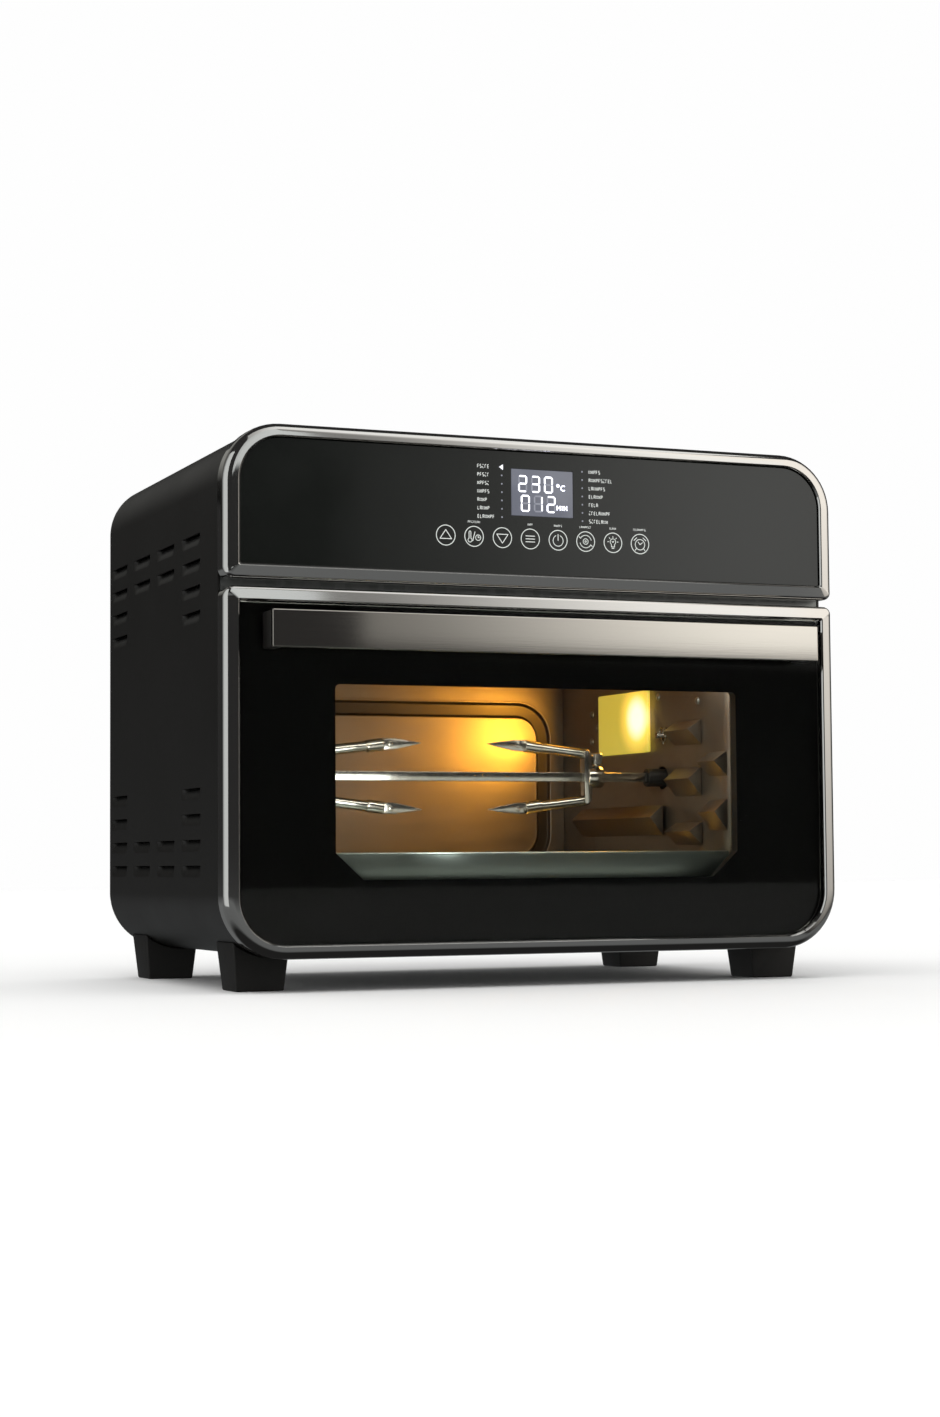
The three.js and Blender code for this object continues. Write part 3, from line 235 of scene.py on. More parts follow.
def powder_coated_steel(context):
    """Satin polyester powder on sheet steel: a fine orange peel under a low sheen."""
    base = tuple(context.scene.oven_colours.housing)
    material, tree, shader, place = new_finish("powder_coated_steel", base, 0.4)
    peel = add_node(tree, "ShaderNodeTexNoise", {"Vector": place, "Scale": 1 / (1.6 * MM), "Detail": 3.0})
    cloud = add_node(tree, "ShaderNodeTexNoise", {"Vector": place, "Scale": 1 / (60 * MM), "Detail": 4.0})
    vary_colour(tree, shader, cloud.outputs["Fac"], scaled(base, 0.82), scaled(base, 1.18))
    vary_roughness(tree, shader, cloud.outputs["Fac"], 0.36, 0.5)
    raise_surface(tree, shader, peel.outputs["Fac"], 0.05 * MM)
    return material


def polished_stainless(context):
    """Mirror-polished stainless steel: sharp reflections, with faint buffing lines."""
    base = tuple(context.scene.oven_colours.frames)
    material, tree, shader, place = new_finish("polished_stainless_steel", base, 0.08, 1.0)
    along = add_node(tree, "ShaderNodeMapping", {"Vector": place, "Scale": (1.0, 1.0, 14.0)})
    buff = add_node(tree, "ShaderNodeTexNoise", {
        "Vector": along.outputs[0], "Scale": 1 / (9 * MM), "Detail": 5.0})
    vary_roughness(tree, shader, buff.outputs["Fac"], 0.05, 0.09)
    vary_colour(tree, shader, buff.outputs["Fac"], scaled(base, 0.98), scaled(base, 1.02))
    return material


def brushed_stainless(context, name="brushed_stainless_steel", base=None, grain=0.45, low=0.05, high=0.1):
    """Belt-brushed stainless steel: fine scratches along X that spread light up and down.
    The real grain is near 0.1 mm, and is drawn coarser so that it shows."""
    base = base or tuple(context.scene.oven_colours.handle)
    material, tree, shader, place = new_finish(name, base, 0.3, 1.0)
    along = add_node(tree, "ShaderNodeMapping", {"Vector": place, "Scale": (0.012, 1.0, 1.0)})
    scratch = add_node(tree, "ShaderNodeTexNoise", {
        "Vector": along.outputs[0], "Scale": 1 / (grain * MM), "Detail": 4.0})
    vary_colour(tree, shader, scratch.outputs["Fac"], scaled(base, 0.94), scaled(base, 1.05))
    vary_roughness(tree, shader, scratch.outputs["Fac"], low, high)
    raise_surface(tree, shader, scratch.outputs["Fac"], 0.01 * MM, 0.25)
    return material


def bent_steel(context):
    """Plain polished stainless rod and bar: bright, with drawing lines and small stains."""
    base = srgb("#c9c4ba")
    material, tree, shader, place = new_finish("drawn_stainless_steel", base, 0.2, 1.0)
    stain = add_node(tree, "ShaderNodeTexNoise", {"Vector": place, "Scale": 1 / (6 * MM), "Detail": 6.0})
    vary_roughness(tree, shader, stain.outputs["Fac"], 0.12, 0.3)
    vary_colour(tree, shader, stain.outputs["Fac"], scaled(base, 0.8), scaled(base, 1.05))
    return material


def printed_glass(context):
    """Toughened glass printed black on its back: a deep, sharp gloss with faint finger haze."""
    base = tuple(context.scene.oven_colours.glass)
    material, tree, shader, place = new_finish("black_printed_glass", base, 0.05, 0.0, 1.52)
    haze = add_node(tree, "ShaderNodeTexNoise", {"Vector": place, "Scale": 1 / (35 * MM), "Detail": 5.0})
    vary_roughness(tree, shader, haze.outputs["Fac"], 0.04, 0.16)
    vary_colour(tree, shader, haze.outputs["Fac"], scaled(base, 0.85), scaled(base, 1.2))
    return material


def clear_glass(context):
    """Clear toughened float glass: see-through, with a faint grey tint and wiping haze."""
    base = srgb("#e9ebe6")
    material, tree, shader, place = new_finish("clear_toughened_glass", base, 0.02, 0.0, 1.22)
    shader.inputs["Transmission Weight"].default_value = 1.0
    shader.inputs["Specular IOR Level"].default_value = 0.3
    haze = add_node(tree, "ShaderNodeTexNoise", {"Vector": place, "Scale": 1 / (50 * MM), "Detail": 4.0})
    vary_roughness(tree, shader, haze.outputs["Fac"], 0.0, 0.03)
    return material


def ceramic_print(context):
    """Black ceramic print fired on glass: matt behind, with a fine mottle."""
    base = tuple(context.scene.oven_colours.border)
    material, tree, shader, place = new_finish("black_ceramic_print", base, 0.6)
    mottle = add_node(tree, "ShaderNodeTexNoise", {"Vector": place, "Scale": 1 / (2 * MM), "Detail": 4.0})
    vary_colour(tree, shader, mottle.outputs["Fac"], scaled(base, 0.8), scaled(base, 1.2))
    vary_roughness(tree, shader, mottle.outputs["Fac"], 0.5, 0.7)
    shader.inputs["Specular IOR Level"].default_value = 0.1
    return material


def screen_ink(context):
    """Silk-screened grey-white ink that the panel's lamps light from behind."""
    base = tuple(context.scene.oven_colours.ink)
    material, tree, shader, place = new_finish("screen_printed_ink", base, 0.45)
    grain = add_node(tree, "ShaderNodeTexNoise", {"Vector": place, "Scale": 1 / (0.8 * MM), "Detail": 3.0})
    vary_colour(tree, shader, grain.outputs["Fac"], scaled(base, 0.85), base)
    shader.inputs["Emission Color"].default_value = base
    shader.inputs["Emission Strength"].default_value = 0.55
    return material


def lit_segments(context):
    """White LED segments behind a diffuser: bright, slightly blue."""
    base = srgb("#f4f5ff")
    material, tree, shader, place = new_finish("white_led_segments", base, 0.4)
    glow = add_node(tree, "ShaderNodeTexNoise", {"Vector": place, "Scale": 1 / (1.5 * MM), "Detail": 2.0})
    vary_colour(tree, shader, glow.outputs["Fac"], scaled(base, 0.9), base)
    shader.inputs["Emission Color"].default_value = base
    shader.inputs["Emission Strength"].default_value = 1.6
    return material


def unlit_segments(context):
    """LED segments that are off: a shade lighter than their ground."""
    base = srgb("#7c7e88")
    material, tree, shader, place = new_finish("unlit_led_segments", base, 0.4)
    glow = add_node(tree, "ShaderNodeTexNoise", {"Vector": place, "Scale": 1 / (1.5 * MM), "Detail": 2.0})
    vary_colour(tree, shader, glow.outputs["Fac"], scaled(base, 0.85), base)
    shader.inputs["Emission Color"].default_value = base
    shader.inputs["Emission Strength"].default_value = 0.5
    return material


def display_ground(context):
    """Smoked acrylic display window over an even backlight."""
    base = tuple(context.scene.oven_colours.display)
    material, tree, shader, place = new_finish("smoked_display_window", base, 0.12, 0.0, 1.49)
    glow = add_node(tree, "ShaderNodeTexNoise", {"Vector": place, "Scale": 1 / (12 * MM), "Detail": 2.0})
    vary_colour(tree, shader, glow.outputs["Fac"], scaled(base, 0.8), scaled(base, 1.15))
    shader.inputs["Emission Color"].default_value = base
    shader.inputs["Emission Strength"].default_value = 0.75
    return material


def moulded_plastic(context):
    """Injection-moulded ABS with a spark-eroded texture, near 0.6 mm across."""
    base = tuple(context.scene.oven_colours.plastic)
    material, tree, shader, place = new_finish("moulded_black_abs", base, 0.55, 0.0, 1.54)
    spark = add_node(tree, "ShaderNodeTexVoronoi", {"Vector": place, "Scale": 1 / (0.7 * MM)})
    cloud = add_node(tree, "ShaderNodeTexNoise", {"Vector": place, "Scale": 1 / (18 * MM), "Detail": 3.0})
    vary_colour(tree, shader, cloud.outputs["Fac"], scaled(base, 0.8), scaled(base, 1.3))
    vary_roughness(tree, shader, cloud.outputs["Fac"], 0.48, 0.64)
    raise_surface(tree, shader, spark.outputs["Distance"], 0.04 * MM)
    return material


def coated_liner(context, name="coated_aluminised_steel", shade=1.0):
    """Aluminised steel liner under a clear coat: a soft metallic glow, with rolling lines."""
    base = scaled(tuple(context.scene.oven_colours.cavity), shade)
    material, tree, shader, place = new_finish(name, base, 0.38, 0.85)
    along = add_node(tree, "ShaderNodeMapping", {"Vector": place, "Scale": (0.05, 0.3, 1.0)})
    rolled = add_node(tree, "ShaderNodeTexNoise", {
        "Vector": along.outputs[0], "Scale": 1 / (2.4 * MM), "Detail": 4.0})
    stain = add_node(tree, "ShaderNodeTexNoise", {"Vector": place, "Scale": 1 / (45 * MM), "Detail": 5.0})
    vary_colour(tree, shader, stain.outputs["Fac"], scaled(base, 0.72), scaled(base, 1.15))
    vary_roughness(tree, shader, rolled.outputs["Fac"], 0.3, 0.46)
    raise_surface(tree, shader, rolled.outputs["Fac"], 0.03 * MM, 0.5)
    return material


def band_painted_shade(context):
    """The same liner finish at 0.3 of its brightness, for the floor of the pressed band: painted shade in the
    recess.
    """
    return coated_liner(context, "liner_with_painted_band_shade", 0.3)


def tray_steel(context):
    """Brushed aluminised steel of the crumb tray, a cooler grey than the liner."""
    return brushed_stainless(
        context, "brushed_aluminised_steel", tuple(context.scene.oven_colours.tray), 0.6, 0.4, 0.55)


def galvanised_steel(context):
    """Hot-dip galvanised sheet: zinc flowers about 6 mm across, in slightly different greys."""
    base = srgb("#8f9190")
    material, tree, shader, place = new_finish("galvanised_sheet_steel", base, 0.42, 0.9)
    flower = add_node(tree, "ShaderNodeTexVoronoi", {"Vector": place, "Scale": 1 / (6 * MM)})
    vary_colour(tree, shader, flower.outputs["Color"], scaled(base, 0.75), scaled(base, 1.2))
    vary_roughness(tree, shader, flower.outputs["Color"], 0.34, 0.52)
    return material


def zinc_plated(context):
    """Bright zinc-plated steel of motor cans, pins and screws."""
    base = srgb("#a9aaa6")
    material, tree, shader, place = new_finish("zinc_plated_steel", base, 0.3, 1.0)
    stain = add_node(tree, "ShaderNodeTexNoise", {"Vector": place, "Scale": 1 / (4 * MM), "Detail": 5.0})
    vary_colour(tree, shader, stain.outputs["Fac"], scaled(base, 0.78), scaled(base, 1.08))
    vary_roughness(tree, shader, stain.outputs["Fac"], 0.22, 0.42)
    return material


def heater_sheath(context):
    """Nickel-alloy heater sheath, darkened by heat to brown and blue-grey."""
    material, tree, shader, place = new_finish("oxidised_heater_sheath", srgb("#3b3632"), 0.5, 0.8)
    heat = add_node(tree, "ShaderNodeTexNoise", {"Vector": place, "Scale": 1 / (22 * MM), "Detail": 5.0})
    vary_colour(tree, shader, heat.outputs["Fac"], srgb("#2b2622"), srgb("#57524e"))
    vary_roughness(tree, shader, heat.outputs["Fac"], 0.4, 0.62)
    return material


def solder_mask(context):
    """Green solder mask over copper tracks about 1.5 mm apart."""
    material, tree, shader, place = new_finish("solder_mask_board", srgb("#1c4a2c"), 0.4)
    tracks = add_node(tree, "ShaderNodeTexBrick", {
        "Vector": place, "Scale": 1 / (9 * MM), "Mortar Size": 0.06, "Color1": srgb("#1d4f2f"),
        "Color2": srgb("#173f26"), "Mortar": srgb("#3f7a4c")})
    tree.links.new(tracks.outputs["Color"], shader.inputs["Base Color"])
    return material


def glazed_ceramic(context):
    """Steatite ceramic with a thin cream glaze."""
    base = srgb("#ddd6c6")
    material, tree, shader, place = new_finish("glazed_steatite", base, 0.3)
    speck = add_node(tree, "ShaderNodeTexNoise", {"Vector": place, "Scale": 1 / (3 * MM), "Detail": 4.0})
    vary_colour(tree, shader, speck.outputs["Fac"], scaled(base, 0.82), base)
    vary_roughness(tree, shader, speck.outputs["Fac"], 0.22, 0.4)
    return material


def lamp_diffuser(context):
    """Heat-proof pressed glass over the lamp: amber, and white-hot where the bulb stands behind it."""
    material, tree, shader, place = new_finish("heatproof_lamp_glass", srgb("#e2c552"), 0.25, 0.0, 1.47)
    low, high = NODES["lamp_cover"]
    hot = Vector((low.x, low.y + 0.2 * (high.y - low.y), low.z + 0.56 * (high.z - low.z)))
    centred = add_node(tree, "ShaderNodeVectorMath", {0: place, 1: tuple(hot)}, operation="SUBTRACT")
    reach = add_node(tree, "ShaderNodeVectorMath", {0: centred.outputs[0]}, operation="LENGTH")
    near = add_node(
        tree, "ShaderNodeMapRange",
        {"Value": reach.outputs["Value"], "From Min": 5 * MM, "From Max": 30 * MM},
        interpolation_type="SMOOTHSTEP")
    ramp = add_node(tree, "ShaderNodeValToRGB", {"Fac": near.outputs["Result"]})
    stops = ramp.color_ramp.elements
    stops[0].color = (1.0, 0.93, 0.72, 1.0)
    stops[1].position = 1.0
    stops[1].color = srgb("#d3c14d")
    amber = stops.new(0.45)
    amber.color = srgb("#ffdc5e")
    tree.links.new(ramp.outputs["Color"], shader.inputs["Emission Color"])
    tree.links.new(ramp.outputs["Color"], shader.inputs["Base Color"])
    strength = add_node(tree, "ShaderNodeMapRange", {
        "Value": near.outputs["Result"], "To Min": 1.25, "To Max": 0.7})
    tree.links.new(strength.outputs["Result"], shader.inputs["Emission Strength"])
    return material


FINISHES = {
    "powder": powder_coated_steel, "polished": polished_stainless, "brushed": brushed_stainless,
    "rod": bent_steel, "control_glass": printed_glass, "door_glass": clear_glass, "print": ceramic_print,
    "ink": screen_ink, "lit": lit_segments, "unlit": unlit_segments, "display": display_ground,
    # The band finish is painted shade for the floor of the rear wall's pressed band.
    "plastic": moulded_plastic, "liner": coated_liner, "band": band_painted_shade, "tray": tray_steel,
    "galvanised": galvanised_steel, "zinc": zinc_plated, "heater": heater_sheath,
    "board": solder_mask, "ceramic": glazed_ceramic,
    "lamp": lamp_diffuser,
}
_made = {}


def finish(context, key):
    """The named finish, made once."""
    if key not in _made:
        _made[key] = FINISHES[key](context)
    return _made[key]


# ------------------------------------------------------------------ mesh helpers

def mesh_of(name, points, faces):
    """A mesh from points and faces."""
    mesh = bpy.data.meshes.new(name)
    mesh.from_pydata([tuple(point) for point in points], [], faces)
    return mesh


def place_mesh(context, name, mesh, key, body, node=None, sharp=35):
    """Puts a finished mesh in the scene as a piece, smooth except at sharp edges, with the
    finish of that key. It rides on a body, and may stand for model nodes."""
    mesh.materials.clear()
    mesh.materials.append(finish(context, key))
    mesh.shade_smooth()
    mesh.set_sharp_from_angle(angle=math.radians(sharp))
    piece = bpy.data.objects.new(name, mesh)
    context.scene.collection.objects.link(piece)
    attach(piece, body)
    if node:
        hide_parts(node)
    return piece


def settle(piece):
    """Turns a piece and its modifiers into one plain mesh."""
    graph = bpy.context.evaluated_depsgraph_get()
    mesh = bpy.data.meshes.new_from_object(piece.evaluated_get(graph), depsgraph=graph)
    old = piece.data
    piece.modifiers.clear()
    piece.data = mesh
    bpy.data.meshes.remove(old)
    return piece


def skin(rings, closed=True):
    """Faces between rings of equal length, for points listed ring after ring."""
    count = len(rings[0])
    faces = []
    last = len(rings) if closed else len(rings) - 1
    for index in range(last):
        here = index * count
        there = ((index + 1) % len(rings)) * count
        for step in range(count):
            after = (step + 1) % count
            faces.append((here + step, here + after, there + after, there + step))
    return [p for ring in rings for p in ring], faces


def outward(mesh):
    """Joins doubled points and turns every face outwards."""
    work = bmesh.new()
    work.from_mesh(mesh)
    bmesh.ops.remove_doubles(work, verts=work.verts, dist=1e-6)
    bmesh.ops.recalc_face_normals(work, faces=work.faces)
    work.to_mesh(mesh)
    work.free()
    return mesh


def closed_mesh(name, rings):
    """A solid skinned over rings of points, with a flat face at each end."""
    points, faces = skin(rings, closed=False)
    count = len(rings[0])
    last = len(points) - count
    faces += [tuple(range(count - 1, -1, -1)), tuple(range(last, last + count))]
    return outward(mesh_of(name, points, faces))


def arc(radius, start, end, centre=(0, 0), steps=28):
    """Points on an arc, with angles in degrees."""
    angles = [math.radians(start + (end - start) * k / steps) for k in range(steps + 1)]
    return [(centre[0] + radius * math.cos(a), centre[1] + radius * math.sin(a)) for a in angles]


def dot(radius, centre=(0, 0), steps=14):
    """Points round a full circle."""
    return arc(radius, 0, 360 - 360 / steps, centre, steps - 1)


def rounded_loop(left, right, low, high, low_radius, high_radius, steps):
    """Points of a rounded rectangle in x and z, anticlockwise from the lower right corner."""
    corners = [
        (right - low_radius, low + low_radius, low_radius, -90),
        (right - high_radius, high - high_radius, high_radius, 0),
        (left + high_radius, high - high_radius, high_radius, 90),
        (left + low_radius, low + low_radius, low_radius, 180),
    ]
    loop = []
    for cx, cz, radius, start in corners:
        loop += arc(radius, start, start + 90, (cx, cz), steps)
    return loop


def turned_mesh(name, profile, centre, axis, steps=32):
    """A turned part: profile points are (radius, distance along the axis from the centre)."""
    turn = Vector((0, 0, 1)).rotation_difference(Vector(axis))
    return closed_mesh(name, [
        [Vector(centre) + turn @ Vector((x, y, along)) for x, y in dot(radius, steps=steps)]
        for radius, along in profile])


def block_mesh(name, low, high):
    """A plain block, to be bevelled."""
    mesh = bpy.data.meshes.new(name)
    work = bmesh.new()
    bmesh.ops.create_cube(work, size=1.0)
    middle = (Vector(low) + Vector(high)) / 2
    size = Vector(high) - Vector(low)
    fit = Matrix.Translation(middle) @ Matrix.Diagonal((*size, 1))
    bmesh.ops.transform(work, matrix=fit, verts=work.verts)
    work.to_mesh(mesh)
    work.free()
    return mesh


def bevelled(piece, width, steps=3, angle=32):
    """Rounds the sharp edges of a piece and settles it."""
    edge = piece.modifiers.new("edges", "BEVEL")
    edge.width = width
    edge.segments = steps
    edge.limit_method = "ANGLE"
    edge.angle_limit = math.radians(angle)
    edge.use_clamp_overlap = True
    settle(piece)
    piece.data.shade_smooth()
    piece.data.set_sharp_from_angle(angle=math.radians(50))
    return piece


def softened(context, node, key, width=0.5, steps=2, name=None):
    """A copy of a model node with merged faces and rounded edges, standing for it."""
    source = frame["nodes"][node]
    mesh = source.data.copy()
    work = bmesh.new()
    work.from_mesh(mesh)
    bmesh.ops.remove_doubles(work, verts=work.verts, dist=1e-6)
    bmesh.ops.dissolve_limit(
        work, angle_limit=math.radians(0.6), verts=work.verts, edges=work.edges)
    work.to_mesh(mesh)
    work.free()
    piece = place_mesh(context, name or f"{node}_soft", mesh, key, source["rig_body"], node)
    return bevelled(piece, width * MM, steps)


def dress(context, nodes, key):
    """Gives model nodes a finish, on the model's own solids."""
    for node in nodes:
        piece = frame["nodes"][node]
        piece.data.materials.clear()
        piece.data.materials.append(finish(context, key))


def joined(meshes, name):
    """Several meshes as one."""
    work = bmesh.new()
    for mesh in meshes:
        work.from_mesh(mesh)
        bpy.data.meshes.remove(mesh)
    whole = bpy.data.meshes.new(name)
    work.to_mesh(whole)
    work.free()
    return whole


# --------------------------------------------------------------- geometry nodes

def repeater_tree():
    """Geometry Nodes tree: one unit at each point, turned to face the point's direction."""
    tree = bpy.data.node_groups.new("units_on_points", "GeometryNodeTree")
    sockets = tree.interface
    sockets.new_socket("Geometry", in_out="INPUT", socket_type="NodeSocketGeometry")
    sockets.new_socket("Unit", in_out="INPUT", socket_type="NodeSocketObject")
    sockets.new_socket("Unit size", in_out="INPUT", socket_type="NodeSocketFloat").default_value = 1.0
    sockets.new_socket("Finish", in_out="INPUT", socket_type="NodeSocketMaterial")
    sockets.new_socket("Geometry", in_out="OUTPUT", socket_type="NodeSocketGeometry")
    given = add_node(tree, "NodeGroupInput")
    unit = add_node(tree, "GeometryNodeObjectInfo", {"Object": given.outputs["Unit"]})
    facing = add_node(tree, "GeometryNodeInputNamedAttribute", {"Name": "facing"}, data_type="FLOAT_VECTOR")
    turn = add_node(tree, "FunctionNodeAlignRotationToVector", {
        "Vector": facing.outputs["Attribute"]}, axis="X", pivot_axis="Z")
    spread = add_node(tree, "GeometryNodeInstanceOnPoints", {
        "Points": given.outputs["Geometry"], "Instance": unit.outputs["Geometry"],
        "Rotation": turn.outputs["Rotation"], "Scale": given.outputs["Unit size"]})
    real = add_node(tree, "GeometryNodeRealizeInstances", {"Geometry": spread.outputs["Instances"]})
    coated = add_node(tree, "GeometryNodeSetMaterial", {
        "Geometry": real.outputs["Geometry"], "Material": given.outputs["Finish"]})
    add_node(tree, "NodeGroupOutput", {"Geometry": coated.outputs["Geometry"]})
    return tree


def repeated(context, name, unit_mesh, places, key, body, size=1.0):
    """One piece made of a unit repeated at places, each a position and a facing direction.
    The unit's own +X is what faces out, and its +Z stays up."""
    unit = bpy.data.objects.new("unit", unit_mesh)
    context.scene.collection.objects.link(unit)
    mesh = bpy.data.meshes.new(name)
    mesh.from_pydata([tuple(position) for position, _ in places], [], [])
    facing = mesh.attributes.new("facing", "FLOAT_VECTOR", "POINT")
    for index, (_, direction) in enumerate(places):
        facing.data[index].vector = direction
    points = bpy.data.objects.new("points", mesh)
    context.scene.collection.objects.link(points)
    tree = repeater_tree()
    spread = points.modifiers.new("spread", "NODES")
    spread.node_group = tree
    inputs = {item.name: item.identifier for item in tree.interface.items_tree if item.in_out == "INPUT"}
    spread[inputs["Unit"]] = unit
    spread[inputs["Unit size"]] = size
    spread[inputs["Finish"]] = finish(context, key)
    context.view_layer.update()
    graph = context.evaluated_depsgraph_get()
    result = bpy.data.meshes.new_from_object(points.evaluated_get(graph), depsgraph=graph)
    result.name = name
    for spare in (points, unit):
        bpy.data.objects.remove(spare)
    return place_mesh(context, name, result, key, body, None)


# ------------------------------------------------------------ parts of the oven

def front_to_back(millimetres):
    """A depth measured back from the front of the glass, as a place in the model."""
    return GLASS_Y + millimetres * MM


def outline(node, inset, steps):
    """Rounded outline of a front frame, moved inwards by a share of the frame's width."""
    (left, right), (low, high) = span(node, X), span(node, Z)
    small, top, bottom, least = 7 * MM, 36 * MM, 38 * MM, 1.2 * MM
    low_radius, high_radius = (small, top) if node == "control_bezel" else (bottom, small)
    level = inset * FRAME_LEVEL / FRAME_SIDE
    return rounded_loop(
        left + inset, right - inset, low + level, high - level,
        max(low_radius - inset, least), max(high_radius - inset, least), steps)


def ring_at(loop, y):
    """A loop in x and z, placed at a depth."""
    return [Vector((x, y, z)) for x, z in loop]


def weighted(piece):
    """Normals that keep flat faces flat beside their rounded edges."""
    mend = piece.modifiers.new("normals", "WEIGHTED_NORMAL")
    mend.keep_sharp = True
    return settle(piece)


def frame_section(sizes, rounding, proud, back):
    """Inset and depth of each line round a frame: outer edge, leaning face, bevel, glass seat."""
    bevel, steps = sizes.frame_chamfer, 14
    seat, seat_deep = FRAME_SIDE + 8 * MM, (front_to_back(4.3), front_to_back(5.8))
    crest = FRAME_SIDE - bevel - 0.2 * MM
    lean = math.radians(sizes.frame_lean)
    rise = (crest - rounding + rounding * math.sin(lean)) * math.tan(lean)
    middle = proud + rounding * math.cos(lean) + rise
    section = [(0.0, back)]
    for step in range(steps + 1):
        angle = (math.pi / 2 - lean) * step / steps
        section.append((rounding * (1 - math.cos(angle)), middle - rounding * math.sin(angle)))
    return section + [
        (crest, proud), (FRAME_SIDE - bevel, proud + 0.12 * MM),
        (FRAME_SIDE - 0.2 * MM, proud + bevel + 0.1 * MM), (FRAME_SIDE, proud + bevel + 0.5 * MM),
        (FRAME_SIDE, seat_deep[0]), (seat, seat_deep[0]), (seat, seat_deep[1]), (FRAME_SIDE, seat_deep[1]),
        (FRAME_SIDE, back)]


def build_frame(context, node, name, body):
    """One polished frame: a wide round edge outside, and a tighter one along the gap."""
    sizes = context.scene.oven_sizes
    steps, blend = sizes.corner_steps, 7 * MM
    (proud, back), (low, high) = span(node, Y), span(node, Z)
    gap_edge = low if node == "control_bezel" else high
    near_gap = [max(0.0, 1 - abs(z - gap_edge) / blend) for _, z in outline(node, 0, steps)]
    shares = [t * t * (3 - 2 * t) for t in near_gap]
    rings = []
    sections = [frame_section(sizes, width, proud, back) for width in (sizes.frame_round, sizes.gap_round)]
    for lines in zip(*sections):
        wide, tight = [ring_at(outline(node, inset, steps), depth) for inset, depth in lines]
        rings.append([a.lerp(b, share) for a, b, share in zip(wide, tight, shares)])
    mesh = outward(mesh_of(name, *skin(rings)))
    piece = place_mesh(context, name, mesh, "polished", body, node, 28)
    return weighted(piece)


def slab(name, loop, front, back, edge=0.0):
    """A plate between two depths, with a small bevel round its front and back."""
    if not edge:
        return closed_mesh(name, [ring_at(loop, front), ring_at(loop, back)])
    (left, right), (low, high) = [(min(values), max(values)) for values in zip(*loop)]
    middle_x, middle_z = (left + right) / 2, (low + high) / 2
    wide, tall = 1 - 2 * edge / (right - left), 1 - 2 * edge / (high - low)
    inner = [(middle_x + (x - middle_x) * wide, middle_z + (z - middle_z) * tall) for x, z in loop]
    return closed_mesh(name, [
        ring_at(inner, front), ring_at(loop, front + edge), ring_at(loop, back - edge), ring_at(inner, back)])


def prism(name, points, axis, low, high):
    """A straight-sided solid: a polygon pushed along an axis. Points are the two other axes in order."""
    def place(point, along):
        others = list(point)
        others.insert(axis, along)
        return Vector(others)
    return closed_mesh(name, [[place(point, along) for point in points] for along in (low, high)])


def carve(piece, meshes, operation="DIFFERENCE"):
    """Cuts meshes out of a piece, or joins them to it."""
    for mesh in meshes:
        tool = bpy.data.objects.new("tool", mesh)
        bpy.context.scene.collection.objects.link(tool)
        step = piece.modifiers.new("cut", "BOOLEAN")
        step.operation = operation
        step.solver = "EXACT"
        step.object = tool
        settle(piece)
        bpy.data.objects.remove(tool)
    outward(piece.data)
    piece.data.shade_smooth()
    piece.data.set_sharp_from_angle(angle=math.radians(35))
    return piece


def tube_mesh(name, path, radius, sides=16):
    """A round bar along a path, closed at its ends."""
    rings = []
    path = [Vector(point) for point in path]
    side = None
    for index, point in enumerate(path):
        before, after = path[max(index - 1, 0)], path[min(index + 1, len(path) - 1)]
        ahead = (after - before).normalized()
        if side is None:
            side = ahead.orthogonal().normalized()
        side = (side - ahead * side.dot(ahead)).normalized()
        up = ahead.cross(side)
        rings.append([point + a * side + b * up for a, b in dot(radius, steps=sides)])
    return closed_mesh(name, rings)


class OVEN_OT_frames(bpy.types.Operator):
    """Polished stainless frames round the control panel and the door"""

    bl_idname = "oven.frames"
    bl_label = "Front Frames"

    def execute(self, context):
        build_frame(context, "control_bezel", "bezel_trim", "chassis")
        build_frame(context, "door_frame", "door_trim", "door")
        softened(context, "control_carrier", "plastic", 0.3)
        return {"FINISHED"}


